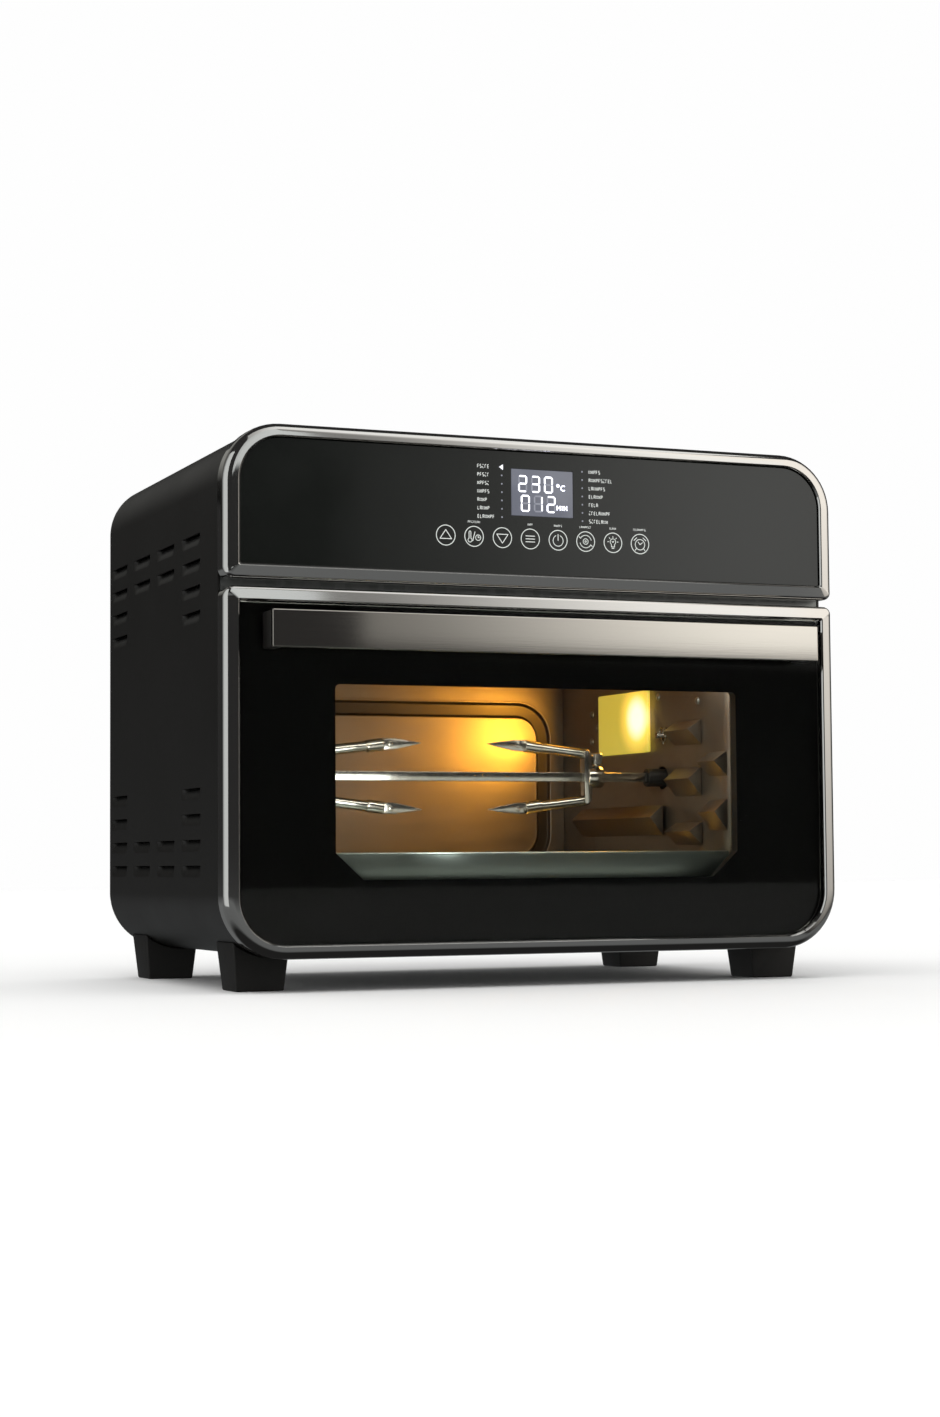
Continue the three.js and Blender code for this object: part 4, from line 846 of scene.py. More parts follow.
class OVEN_OT_panes(bpy.types.Operator):
    """Control glass, door glass with its printed border, and the door's inner panel"""

    bl_idname = "oven.panes"
    bl_label = "Glass"

    def execute(self, context):
        steps = context.scene.oven_sizes.corner_steps
        edge, bevel = FRAME_SIDE + SEAT_GAP, 0.3 * MM
        front, back = GLASS_Y, GLASS_BACK_Y
        mesh = slab("control_pane", outline("control_bezel", edge, steps), front, back, bevel)
        pane = place_mesh(
            context, "control_pane", mesh, "control_glass", "chassis", "control_glass")
        low, high = NODES["display_window"]
        gap = Vector((0.25, 3, 0.25)) * MM
        carve(pane, [block_mesh("hole", low - gap, high + gap)])

        mesh = slab("door_pane", outline("door_frame", edge, steps), front, back, bevel)
        place_mesh(context, "door_pane", mesh, "door_glass", "door", "door_glass")

        loop = outline("door_frame", edge + 0.4 * MM, steps)
        print_front, print_back = back + 0.04 * MM, back + 0.2 * MM
        mesh = slab("door_border", loop, print_front, print_back)
        border = place_mesh(context, "door_border", mesh, "print", "door")
        carve(border, [prism("view", self.window(0), Y, front, back + 5 * MM)])
        self.inner_panel(context)
        return {"FINISHED"}

    @staticmethod
    def window(margin):
        """The window's outline in x and z, made larger by a margin in millimetres. Its lower
        corners are cut off and its upper ones rounded."""
        low_z, high_z = span("door_frame", Z)
        half, foot = (134.8 + margin) * MM, (117.4 + margin) * MM
        low, high = low_z + (46.2 - margin) * MM, high_z - (56.5 - margin) * MM
        shoulder = low_z + 62.3 * MM
        radius = (3 + margin) * MM
        corner = arc(radius, 0, 90, (half - radius, high - radius), 6)
        mirrored = [(-x, z) for x, z in reversed(corner)]
        return [(-foot, low), (foot, low), (half, shoulder)] + corner + mirrored + [(-half, shoulder)]

    def inner_panel(self, context):
        """Pressed inner panel: a flat back, an outer rim and a rim round the window."""
        steps = context.scene.oven_sizes.corner_steps
        front, back = span("door_inner_panel", Y)
        edge, skim = FRAME_SIDE + 8.3 * MM, 0.1 * MM
        mesh = slab("door_liner", outline("door_frame", edge, steps), front, back, 0.25 * MM)
        panel = place_mesh(context, "door_liner", mesh, "powder", "door", "door_inner_panel")
        hollow = slab("hollow", outline("door_frame", edge + SHEET, steps), front - SHEET, back - SHEET)
        carve(panel, [hollow])
        carve(panel, [prism("rim", self.window(2.2), Y, front + skim, back - skim)], "UNION")
        carve(panel, [prism("view", self.window(1), Y, front - SHEET, back + SHEET)])
        weighted(panel)


def flat_marks(context, name, shapes, y, key):
    """Printed marks: one piece of flat polygons in x and z, facing the front."""
    points, faces = [], []
    for shape in shapes:
        start = len(points)
        points += [(x, y, z) for x, z in shape]
        faces.append(tuple(range(start, start + len(shape))))
    mesh = mesh_of(name, points, faces)
    mesh.validate()
    work = bmesh.new()
    work.from_mesh(mesh)
    turned = [face for face in work.faces if face.normal.y > 0]
    bmesh.ops.reverse_faces(work, faces=turned)
    work.to_mesh(mesh)
    work.free()
    place_mesh(context, name, mesh, key, "chassis")


def stroke(path, width):
    """Polygons of a drawn line in x and z, with round joints."""
    shapes = []
    half = width / 2
    for (ax, az), (bx, bz) in zip(path, path[1:]):
        run = math.hypot(bx - ax, bz - az) or 1e-9
        nx, nz = -(bz - az) / run * half, (bx - ax) / run * half
        shapes.append([(ax + nx, az + nz), (ax - nx, az - nz), (bx - nx, bz - nz), (bx + nx, bz + nz)])
    return shapes + [dot(half, point, 8) for point in path]


# Lines of each button's icon, as points in millimetres from the button's middle.
ICONS = {
    "up": [[(-3.8, -2.1), (3.8, -2.1), (0, 3.4), (-3.8, -2.1)]],
    "down": [[(-3.8, 2.1), (3.8, 2.1), (0, -3.4), (-3.8, 2.1)]],
    "heat": [
        [(-3.3, -1.3), (-3.3, 2.6)], [(-2.1, -1.3), (-2.1, 2.6)], arc(0.6, 180, 0, (-2.7, 2.6), 8),
        arc(1.3, 60, -240, (-2.7, -2.3), 18), [(-0.9, -2.8), (0.6, 2.8)], arc(1.7, 0, 360, (2.7, -0.7), 20),
        [(2.7, 0.4), (2.7, -0.7), (3.5, -0.7)]],
    "menu": [[(-3.0, 1.8), (3.0, 1.8)], [(-3.0, 0), (3.0, 0)], [(-3.0, -1.8), (3.0, -1.8)]],
    "power": [arc(3.4, 115, 425, (0, -0.3)), [(0, 3.6), (0, -0.2)]],
    "turn": [
        arc(3.9, 15, 150, (0, 0)), arc(3.9, 195, 330, (0, 0)), [(-4.5, 2.9), (-3.4, 1.9), (-2.6, 3.2)],
        [(4.5, -2.9), (3.4, -1.9), (2.6, -3.2)], arc(1.7, 0, 360), arc(0.5, 0, 360, (0, 0), 10)],
    "lamp": [
        arc(1.9, -50, 230, (0, 0.6)), [(-1.1, -1.0), (-1.1, -2.6), (1.1, -2.6), (1.1, -1.0)],
        [(-0.7, -3.5), (0.7, -3.5)], [(-0.6, 0.9), (0, 0.2), (0.6, 0.9)],
        [(-3.6, 0.6), (-2.9, 0.6)], [(3.6, 0.6), (2.9, 0.6)], [(0, 3.9), (0, 3.3)],
        [(-2.5, 3.1), (-2.0, 2.6)], [(2.5, 3.1), (2.0, 2.6)]],
    "clock": [
        arc(3.3, 0, 360, (0, -0.4)), [(-1.2, 1.2), (0, -0.4), (1.7, 0.9)], [(-4.1, 2.2), (-2.2, 3.9)],
        [(4.1, 2.2), (2.2, 3.9)], [(-2.5, -2.9), (-3.4, -4.0)], [(2.5, -2.9), (3.4, -4.0)]],
}
# Middle of each button across, its icon, and how many letters its greeked caption has.
BUTTONS = (
    (-64.5, "up", 0), (-45.9, "heat", 9), (-27.1, "down", 0), (-8.4, "menu", 4), (10.4, "power", 6),
    (29.2, "turn", 9), (48.0, "lamp", 5), (66.8, "clock", 10))
BUTTON_Z = 274.0
CAPTION_PITCH, CAPTION_UP = 0.92 * MM, 8.9 * MM
# Letters in each greeked word, left and right of the display.
MODE_ROWS = ((5, 5, 5, 5, 4, 5, 7), (5, 10, 7, 6, 4, 9, 8))
GREEK = ("aefg", "bcfe", "adefg", "afgcd", "bcefg", "def", "aed", "abefg", "abcefg", "afe")


def greek(left, middle, letters, pitch, tall, width, seed):
    """A word that can't be read: made-up letters from seven-segment bars."""
    shapes = []
    for letter in range(letters):
        centre = (left + (letter + 0.42) * pitch, middle)
        bars = segment_shapes(centre, 0.55 * pitch, tall - width, width)
        shapes += [bars[key] for key in GREEK[(7 * seed + 3 * letter) % len(GREEK)]]
    return shapes


class OVEN_OT_marks(bpy.types.Operator):
    """Printed rings and icons of the eight touch buttons, and the rows of marks by the display"""

    bl_idname = "oven.marks"
    bl_label = "Touch Marks"

    def execute(self, context):
        sizes = context.scene.oven_sizes
        y = GLASS_Y - 0.05 * MM
        shapes = []
        for index, (x, icon, letters) in enumerate(BUTTONS):
            centre = (x * MM, BUTTON_Z * MM)
            shapes += stroke(arc(sizes.ring_radius - sizes.line / 2, 0, 360, centre, 48), sizes.line)
            for path in ICONS[icon]:
                placed = [(centre[0] + px * MM, centre[1] + pz * MM) for px, pz in path]
                shapes += stroke(placed, 0.9 * sizes.line)
            start = centre[0] - 0.5 * letters * CAPTION_PITCH
            shapes += greek(
                start, centre[1] + CAPTION_UP, letters, CAPTION_PITCH, 1.5 * MM, 0.26 * MM, index)
        flat_marks(context, "button_marks", shapes, y, "ink")
        self.mode_marks(context, y)
        return {"FINISHED"}

    @staticmethod
    def mode_marks(context, y):
        """Seven rows of greeked words each side of the display, each with its small lamp."""
        shapes, lamps = [], []
        top_row, row_pitch, lamp_x = 14.9, 5.15, 27.2
        for column, words in enumerate(MODE_ROWS):
            side = -1 if column == 0 else 1
            left = -43.6 * MM if side < 0 else 31.6 * MM
            for row, letters in enumerate(words):
                z = DISPLAY_MIDDLE_Z + (top_row - row_pitch * row) * MM
                shapes += greek(left, z, letters, 1.66 * MM, 2.5 * MM, 0.42 * MM, row + 3 * column)
                if row or column:
                    lamps.append(dot(0.55 * MM, (side * lamp_x * MM, z)))
        flat_marks(context, "mode_marks", shapes, y, "ink")
        flat_marks(context, "mode_lamps", lamps, y, "unlit")


# The bars that are lit in each digit, named as in segment_shapes.
SEGMENTS = {"0": "abcdef", "1": "bc", "2": "abged", "3": "abgcd"}


def segment_shapes(centre, wide, tall, thick):
    """The seven segments of one digit, as six-sided bars keyed by letter."""
    cx, cz = centre
    w, h = wide / 2, tall / 2
    gap = 0.12 * thick

    def level(z):
        a, b, t = cx - w + gap, cx + w - gap, thick / 2
        return [(a, z), (a + t, z + t), (b - t, z + t), (b, z), (b - t, z - t), (a + t, z - t)]

    def upright(x, low, high):
        a, b, t = low + gap, high - gap, thick / 2
        return [(x, a), (x + t, a + t), (x + t, b - t), (x, b), (x - t, b - t), (x - t, a + t)]

    return {
        "a": level(cz + h), "g": level(cz), "d": level(cz - h),
        "f": upright(cx - w, cz, cz + h), "b": upright(cx + w, cz, cz + h),
        "e": upright(cx - w, cz - h, cz), "c": upright(cx + w, cz - h, cz),
    }


class OVEN_OT_display(bpy.types.Operator):
    """Backlit display with two rows of seven-segment digits"""

    bl_idname = "oven.display"
    bl_label = "Display"

    def execute(self, context):
        low, high = NODES["display_window"]
        proud = Vector((0.0, -0.1, 0.0)) * MM
        mesh = block_mesh("display_face", low + proud, high)
        face = place_mesh(context, "display_face", mesh, "display", "chassis", "display_window")
        bevelled(face, 0.25 * MM)
        lit, unlit = self.units(), []
        wide, tall, thick, pitch = 5.0 * MM, 9.4 * MM, 1.05 * MM, 8.7
        for text, first, middle_z in (("230", -13.2, 5.4), ("012", -11.5, -6.7)):
            for place, digit in enumerate(text):
                centre = ((first + pitch * place) * MM, DISPLAY_MIDDLE_Z + middle_z * MM)
                for key, shape in segment_shapes(centre, wide, tall, thick).items():
                    (lit if key in SEGMENTS[digit] else unlit).append(shape)
        y = low.y - 0.15 * MM
        flat_marks(context, "display_lit", lit, y, "lit")
        flat_marks(context, "display_unlit", unlit, y, "unlit")
        return {"FINISHED"}

    @staticmethod
    def units():
        """Degree mark with a C, a small minutes mark, and the marker of the chosen row."""
        width = 0.55 * MM
        shapes = []
        paths = [
            arc(0.7, 0, 360, (10.6, 5.2), 12), arc(1.5, 50, 310, (14.2, 3.8), 14),
            [(9.9, -9.9), (9.9, -7.4), (11.0, -8.9), (12.1, -7.4), (12.1, -9.9)],
            [(13.4, -9.9), (13.4, -7.4)], [(14.7, -9.9), (14.7, -7.4), (16.5, -9.9), (16.5, -7.4)]]
        for path in paths:
            shapes += stroke([(x * MM, DISPLAY_MIDDLE_Z + z * MM) for x, z in path], width)
        marker = [(-28.8, 14.9), (-26.4, 16.5), (-26.4, 13.3)]
        shapes.append([(x * MM, DISPLAY_MIDDLE_Z + z * MM) for x, z in marker])
        return shapes


class OVEN_OT_handle(bpy.types.Operator):
    """Brushed handle bar on its two posts"""

    bl_idname = "oven.handle"
    bl_label = "Handle"

    def execute(self, context):
        edge = context.scene.oven_sizes.handle_edge
        mesh = block_mesh("handle_grip", *NODES["handle_bar"])
        bar = place_mesh(context, "handle_grip", mesh, "brushed", "door", "handle_bar")
        bevelled(bar, edge, 4)
        weighted(bar)
        for side in ("left", "right"):
            softened(context, f"handle_post_{side}", "plastic", 0.8, 3)
        return {"FINISHED"}


# ------------------------------------------------------------------ the housing

LOUVRE_HALF = 21 * MM
LOUVRE_COLUMNS = (72, 129, 186, 243)  # middles behind the glass, in millimetres
LOUVRE_ROW = 15.6
PAN_INSET = 1.5 * MM  # the rear cover and the chassis plate sit this far inside the wrap


def louvre_unit(context):
    """One pressed louvre, facing +X with its slit along the top: the sheet below is pushed inwards."""
    sizes = context.scene.oven_sizes
    tall, press, end = sizes.louvre_tall, sizes.louvre_press, 7.5 * MM
    across, up = 36, 10

    def depth(u, v):
        ends = min(1.0, (LOUVRE_HALF - abs(u)) / end)
        return -press * (ends * ends * (3 - 2 * ends)) * ((v / tall) ** 1.35)

    front, back = [], []
    for j in range(up + 1):
        v = tall * j / up
        row = [-LOUVRE_HALF + 2 * LOUVRE_HALF * i / across for i in range(across + 1)]
        front += [Vector((depth(u, v), u, v - tall)) for u in row]
        back += [Vector((depth(u, v) - SHEET, u, v - tall)) for u in row]
    count = across + 1
    shift = count * (up + 1)
    faces = []
    for j in range(up):
        for i in range(across):
            a = j * count + i
            faces.append((a, a + 1, a + 1 + count, a + count))
            faces.append((shift + a, shift + a + count, shift + a + 1 + count, shift + a + 1))
    rim = list(range(count)) + [j * count + across for j in range(1, up + 1)]
    rim += [up * count + i for i in range(across - 1, -1, -1)] + [j * count for j in range(up - 1, 0, -1)]
    for a, b in zip(rim, rim[1:] + rim[:1]):
        faces.append((a, shift + a, shift + b, b))
    return outward(mesh_of("louvre", front + back, faces))


def louvre_places():
    """Slit positions as depth and height: an arch in the upper half, a trough in the lower half."""
    bottom, top = [level / MM for level in span("housing_wrap", Z)]
    places = []
    for y in LOUVRE_COLUMNS:
        rows = 4 if y in (LOUVRE_COLUMNS[0], LOUVRE_COLUMNS[-1]) else 2
        for row in range(rows):
            places.append((y, top - 59.3 - LOUVRE_ROW * row))
            places.append((y, bottom + 54.3 + LOUVRE_ROW * row))
    return places


def housing_loop(inward, steps):
    """Cross section of the housing, moved inwards, in x and z."""
    (left, right), (low, high) = span("housing_wrap", X), span("housing_wrap", Z)
    return rounded_loop(
        left + inward, right - inward, low + inward, high - inward,
        36.8 * MM - inward, 34.8 * MM - inward, steps)


class OVEN_OT_housing(bpy.types.Operator):
    """Powder-coated wrap with pressed louvres, rear cover, base and cord gland"""

    bl_idname = "oven.housing"
    bl_label = "Housing"

    def execute(self, context):
        self.wrap(context)
        self.louvres(context)
        self.rear(context)
        softened(context, "base_plate", "galvanised", 0.25)
        softened(context, "cord_gland", "plastic", 0.4)
        for end in ("front", "rear"):
            for side in ("left", "right"):
                softened(context, f"foot_{end}_{side}", "plastic", 1.1, 4)
        return {"FINISHED"}

    @staticmethod
    def wrap(context):
        """The steel wrap, open underneath, with a hole for each louvre."""
        sizes = context.scene.oven_sizes
        steps, lip = 2 * sizes.corner_steps, 157 * MM
        front, back = span("housing_wrap", Y)
        bottom = span("housing_wrap", Z)[0]
        loops = []
        for inward in (0, SHEET):
            level = bottom + inward
            loops.append([(lip, level)] + housing_loop(inward, steps) + [(-lip, level)])
        mesh = closed_mesh("housing_skin", [
            [Vector((ox, front, oz)), Vector((ox, back, oz)), Vector((ix, back, iz)), Vector((ix, front, iz))]
            for (ox, oz), (ix, iz) in zip(*loops)])
        wrap = place_mesh(context, "housing_skin", mesh, "powder", "chassis", "housing_wrap")
        side_face = span("housing_wrap", X)[1]
        cutters = []
        for y, z in louvre_places():
            for side in (-1, 1):
                near, far = sorted((side * (side_face - 7 * MM), side * (side_face + 5 * MM)))
                ends = front_to_back(y) - LOUVRE_HALF, front_to_back(y) + LOUVRE_HALF
                cutters.append(block_mesh(
                    "slit", (near, ends[0], z * MM - sizes.louvre_tall), (far, ends[1], z * MM)))
        carve(wrap, [joined(cutters, "slits")])
        weighted(wrap)

    @staticmethod
    def louvres(context):
        """Every louvre, pressed into the two sides."""
        places = []
        for y, z in louvre_places():
            for side in (-1, 1):
                outer = span("housing_wrap", X)[0 if side < 0 else 1]
                places.append(((outer, front_to_back(y), z * MM), (side, 0, 0)))
        repeated(context, "louvres", louvre_unit(context), places, "powder", "chassis")

    @staticmethod
    def rear(context):
        """Rear cover: a shallow pan with two fields of slots and the gland's hole."""
        steps = 2 * context.scene.oven_sizes.corner_steps
        front, back = span("rear_cover", Y)
        mesh = slab("rear_pan", housing_loop(PAN_INSET, steps), front, back, 0.2 * MM)
        cover = place_mesh(context, "rear_pan", mesh, "powder", "chassis", "rear_cover")
        recess = slab("recess", housing_loop(PAN_INSET + SHEET, steps), front + SHEET, back + SHEET)
        slots = []
        top, pitch, tall = span("housing_wrap", Z)[1], 12 * MM, 4 * MM
        for side in (-1, 1):
            near, far = sorted((side * 45 * MM, side * 145 * MM))
            for row in range(6):
                low = top - 55 * MM - pitch * row
                slots.append(rounded_block("slot", near, far, low, low + tall, front - SHEET, back))
        gland_low, gland_high = NODES["cord_gland"]
        middle, bore, reach = (gland_low + gland_high) / 2, 7.3 * MM, 20 * MM
        slots.append(turned_mesh("gland", [(bore, -reach), (bore, reach)], middle, (0, 1, 0)))
        carve(cover, [recess, joined(slots, "slots")])
        weighted(cover)


def rounded_block(name, left, right, low, high, front, back):
    """A slot-shaped solid with round ends, through the depth."""
    radius = (high - low) / 2 - 0.01 * MM
    return slab(name, rounded_loop(left, right, low, high, radius, radius, 6), front, back)


# ------------------------------------------------------------------- the cavity

class OVEN_OT_liner(bpy.types.Operator):
    """Oven liner with its pressed rear band and rack supports"""

    bl_idname = "oven.liner"
    bl_label = "Oven Liner"

    def execute(self, context):
        softened(context, "cavity_wrap", "liner", 0.3, name="liner_wrap")
        for side in ("left", "right"):
            softened(context, f"cavity_side_{side}", "liner", 0.36, 3, name=f"liner_{side}")
        self.rear(context)
        self.chassis_plate(context)
        return {"FINISHED"}

    @staticmethod
    def rear(context):
        """Back wall with a soft-edged pressed band, its floor darkened with painted shade."""
        (left, right), (low, high) = span("cavity_rear", X), span("cavity_rear", Z)
        front, back = span("cavity_rear", Y)
        steps = 12
        band_side, band_low, band_high = 119.3 * MM, 70 * MM, 190.6 * MM
        band_radius, width, deep = 26 * MM, 11.5 * MM, 2.5 * MM

        def band(inset):
            radius, side = band_radius - inset, band_side - inset
            return rounded_loop(-side, side, band_low + inset, band_high - inset, radius, radius, steps)

        edge = rounded_loop(left, right, low, high, 1 * MM, 1 * MM, steps)
        rings = [ring_at(edge, back), ring_at(edge, front)]
        shoulder = [
            (-1.4, 0.0), (-0.9, -0.04), (-0.3, -0.1), (0.2, -0.06),
            (0.6, 0.1), (1.3, 0.6), (1.8, 0.88), (2.4, 1.0)]
        profile = [(inset * MM, share) for inset, share in shoulder]
        profile += [(width - inset, share) for inset, share in reversed(profile)]
        rings += [ring_at(band(inset), front + share * deep) for inset, share in profile]
        mesh = closed_mesh("liner_rear", rings)
        piece = place_mesh(
            context, "liner_rear", mesh, "liner", "chassis", "cavity_rear", sharp=50)
        # Faces deep in the band take the darker band finish: painted shade in the recess.
        piece.data.materials.append(finish(context, "band"))
        for face in piece.data.polygons:
            if front + 0.3 * deep < face.center.y < front + 1.1 * deep:
                face.material_index = 1
        weighted(piece)

    @staticmethod
    def chassis_plate(context):
        """Front plate of the chassis with the oven mouth, wiring opening, arm slots and plunger hole."""
        steps = 2 * context.scene.oven_sizes.corner_steps
        front, back = span("chassis_front", Y)
        low = span("chassis_front", Z)[0]
        mesh = slab("chassis_plate", housing_loop(PAN_INSET, steps), front, back, 0.15 * MM)
        plate = place_mesh(
            context, "chassis_plate", mesh, "galvanised", "chassis", "chassis_front")
        panel_low, panel_high = span("control_bezel", Z)
        wiring = 150 * MM, panel_low + 14 * MM, panel_high - 16 * MM
        beyond, deep = 0.3, 10 * MM
        cuts = [block_mesh("below", (-beyond, front - deep, 0), (beyond, back + deep, low))]
        for name, (half, foot, top) in (
                ("mouth", (MOUTH_HALF, MOUTH_LOW, MOUTH_HIGH)), ("wiring", wiring)):
            cuts.append(block_mesh(name, (-half, front - deep, foot), (half, back + deep, top)))
        for side in (-1, 1):
            near, far = sorted((side * 150 * MM, side * 153 * MM))
            cuts.append(block_mesh("arm", (near, front - deep, 78.5 * MM), (far, back + deep, 86.5 * MM)))
        switch_low, switch_high = NODES["switch_plunger"]
        middle = (switch_low + switch_high) / 2
        cuts.append(turned_mesh("plunger", [(2.2 * MM, -deep), (2.2 * MM, deep)], middle, (0, 1, 0)))
        carve(plate, cuts)
        weighted(plate)


class OVEN_OT_tray(bpy.types.Operator):
    """Crumb tray with a tall brushed lip and a rolled hem"""

    bl_idname = "oven.tray"
    bl_label = "Crumb Tray"

    def execute(self, context):
        low, high = NODES["crumb_tray"]
        roll, radius, gauge = 1.5 * MM, 2 * MM, 0.8 * MM
        front, side = low.y, high.x
        hem_z, lip_z = high.z - roll, low.z + radius
        far = side - 7.8 * MM
        turn = front + radius, lip_z
        hem = arc(roll, 180, -150, (front + roll, hem_z), 11)
        lip = [(front, lip_z), (front, hem_z), (front + SHEET, hem_z), (front + SHEET, lip_z)]
        plan = [(-side, front + roll), (side, front + roll), (far, high.y), (-far, high.y)]
        bend = arc(radius, 180, 270, turn, 6) + arc(radius - SHEET, 270, 180, turn, 6)
        mesh = joined([
            prism("hem", hem, X, -side, side), prism("lip", lip, X, -side, side),
            prism("floor", plan, Z, low.z, low.z + gauge), prism("bend", bend, X, -side, side)], "tray")
        tray = place_mesh(context, "tray", mesh, "tray", "chassis", "crumb_tray")
        bevelled(tray, 0.15 * MM, 1)
        return {"FINISHED"}


# --------------------------------------------------------------- the rotisserie

class OVEN_OT_rotisserie(bpy.types.Operator):
    """Square spit, two forks with riveted blades, thumb screws, socket and rest"""

    bl_idname = "oven.rotisserie"
    bl_label = "Rotisserie"

    def execute(self, context):
        softened(context, "spit_rod", "rod", 0.35, 2)
        softened(context, "drive_socket", "plastic", 0.5, 3)
        softened(context, "spit_rest", "galvanised", 0.4)
        softened(context, "rotisserie_motor", "zinc", 0.4)
        for side, cross, ahead in (("left", -110.5, 1), ("right", 78.0, -1)):
            self.fork(context, side, cross * MM, ahead)
            self.thumb_screw(context, side, (cross - 7.8 * ahead) * MM)
        return {"FINISHED"}

    @staticmethod
    def fork(context, side, cross, ahead):
        """One fork: hub, bent cross bar, two prongs with ferrules and flat pointed blades."""
        def at(distance, up=0.0):
            return Vector((cross + ahead * distance * MM, SPIT_Y, SPIT_Z + up * MM))

        def plate(name, points, side_up, near, far):
            shape = [(cross + ahead * a * MM, SPIT_Z + side_up * b * MM) for a, b in points]
            return prism(name, shape, Y, SPIT_Y + near * MM, SPIT_Y + far * MM)

        hub = [(5.2, -11.5), (6.5, -11.3), (7.0, -10.7), (7.0, -0.8), (6.6, -0.2), (5.4, 0.0)]
        hub = [(r * MM, ahead * along * MM) for r, along in hub]
        bar = [(-2.6, 13.4), (-2.1, 15.6), (-0.4, 17.3), (2.6, 17.6)]
        bar += [(along, -up) for along, up in reversed(bar)]
        prong = [(-1.2, 15.2), (2, 15.6), (12, 16.8), (24, 18.2), (36, 19.5)]
        sleeve = [(33.2, 18.8), (34.2, 19.1), (43.4, 20.3), (44.4, 20.4)]
        blade = [
            (42.5, 16.9), (52.0, 17.2), (62.0, 19.2), (71.5, 21.6), (62.0, 23.0), (52.0, 24.2), (42.5, 24.0)]
        rivet = [(0.2, -1.7), (1.5, -1.55), (1.9, -0.9), (1.9, 0.9), (1.5, 1.55), (0.2, 1.7)]
        rivet = [(r * MM, along * MM) for r, along in rivet]
        meshes = [turned_mesh("hub", hub, at(0), (1, 0, 0), 40), plate("bar", bar, 1, -4.6, 2.7)]
        for up in (-1, 1):
            meshes += [
                tube_mesh("prong", [at(a, up * b) for a, b in prong], 3.3 * MM, 20),
                tube_mesh("ferrule", [at(a, up * b) for a, b in sleeve], 4.0 * MM, 24),
                plate("blade", blade, up, -0.9, 0.9),
                turned_mesh("rivet", rivet, at(49.5, up * 20.9), (0, 1, 0), 20)]
        name = f"fork_{side}_bent"
        mesh = joined(meshes, name)
        fork = place_mesh(context, name, mesh, "rod", f"fork_{side}", f"fork_{side}")
        bevelled(fork, 0.2 * MM, 2, 50)

    @staticmethod
    def thumb_screw(context, side, x):
        """Thumb screw with a knurled head, standing on the fork's hub."""
        node = f"fork_screw_{side}"
        low, high = NODES[node]
        steps, ridge_every, ridge = 72, 3, 0.16
        head_low, chamfer = high.z - 8 * MM, 0.7 * MM
        profile = [
            (2.0, low.z), (2.0, head_low), (3.4, head_low), (4.2, head_low + chamfer),
            (4.2, high.z - chamfer), (3.4, high.z), (0.3, high.z)]
        rings = []
        for radius, z in profile:
            ring = []
            for step in range(steps):
                groove = ridge if radius > 4 and step % ridge_every == 0 else 0.0
                angle = 2 * math.pi * step / steps
                reach = (radius - groove) * MM
                ring.append(Vector((x + reach * math.cos(angle), SPIT_Y + reach * math.sin(angle), z)))
            rings.append(ring)
        mesh = closed_mesh(f"thumb_screw_{side}", rings)
        place_mesh(context, f"thumb_screw_{side}", mesh, "rod", node, node)


class OVEN_OT_lamp(bpy.types.Operator):
    """Oven lamp: glowing cover, reflector, bulb and ceramic socket"""

    bl_idname = "oven.lamp"
    bl_label = "Oven Lamp"

    def execute(self, context):
        softened(context, "lamp_cover", "lamp", 1.1, 4)
        softened(context, "lamp_housing", "galvanised", 0.25)
        softened(context, "lamp_socket", "ceramic", 0.4)
        softened(context, "lamp_bulb", "door_glass", 0.2)
        return {"FINISHED"}


class OVEN_OT_heaters(bpy.types.Operator):
    """Sheathed heaters: two straight ones low down and a ring under the fan"""

    bl_idname = "oven.heaters"
    bl_label = "Heaters"

    def execute(self, context):
        for name in ("heater_bottom_front", "heater_bottom_rear"):
            low, high = NODES[name]
            middle = (0, (low.y + high.y) / 2, (low.z + high.z) / 2)
            end = [(1.5, 0), (1.5, 6), (3.0, 6.2), (3.2, 6.8)]
            profile = [(r * MM, low.x + inward * MM) for r, inward in end]
            profile += [(r * MM, high.x - inward * MM) for r, inward in reversed(end)]
            mesh = turned_mesh(name, profile, middle, (1, 0, 0), 28)
            place_mesh(context, f"{name}_tube", mesh, "heater", "chassis", name)
        self.ring(context)
        return {"FINISHED"}

    @staticmethod
    def ring(context):
        """Ring heater with two legs through the ceiling."""
        low, high = NODES["heater_top"]
        centre_y = sum(span("fan_shaft", Y)) / 2
        tube = 3.2 * MM
        z = low.z + tube
        path = [(x, y, z) for x, y in arc(74 * MM, 102.5, 437.5, (0, centre_y), 90)]
        meshes = [tube_mesh("ring", path, tube, 18)]
        for x, y, _ in (path[0], path[-1]):
            meshes.append(tube_mesh("leg", [(x, y, z), (x, y, high.z)], tube, 18))
        mesh = joined(meshes, "heater_ring")
        place_mesh(context, "heater_ring", mesh, "heater", "chassis", "heater_top")


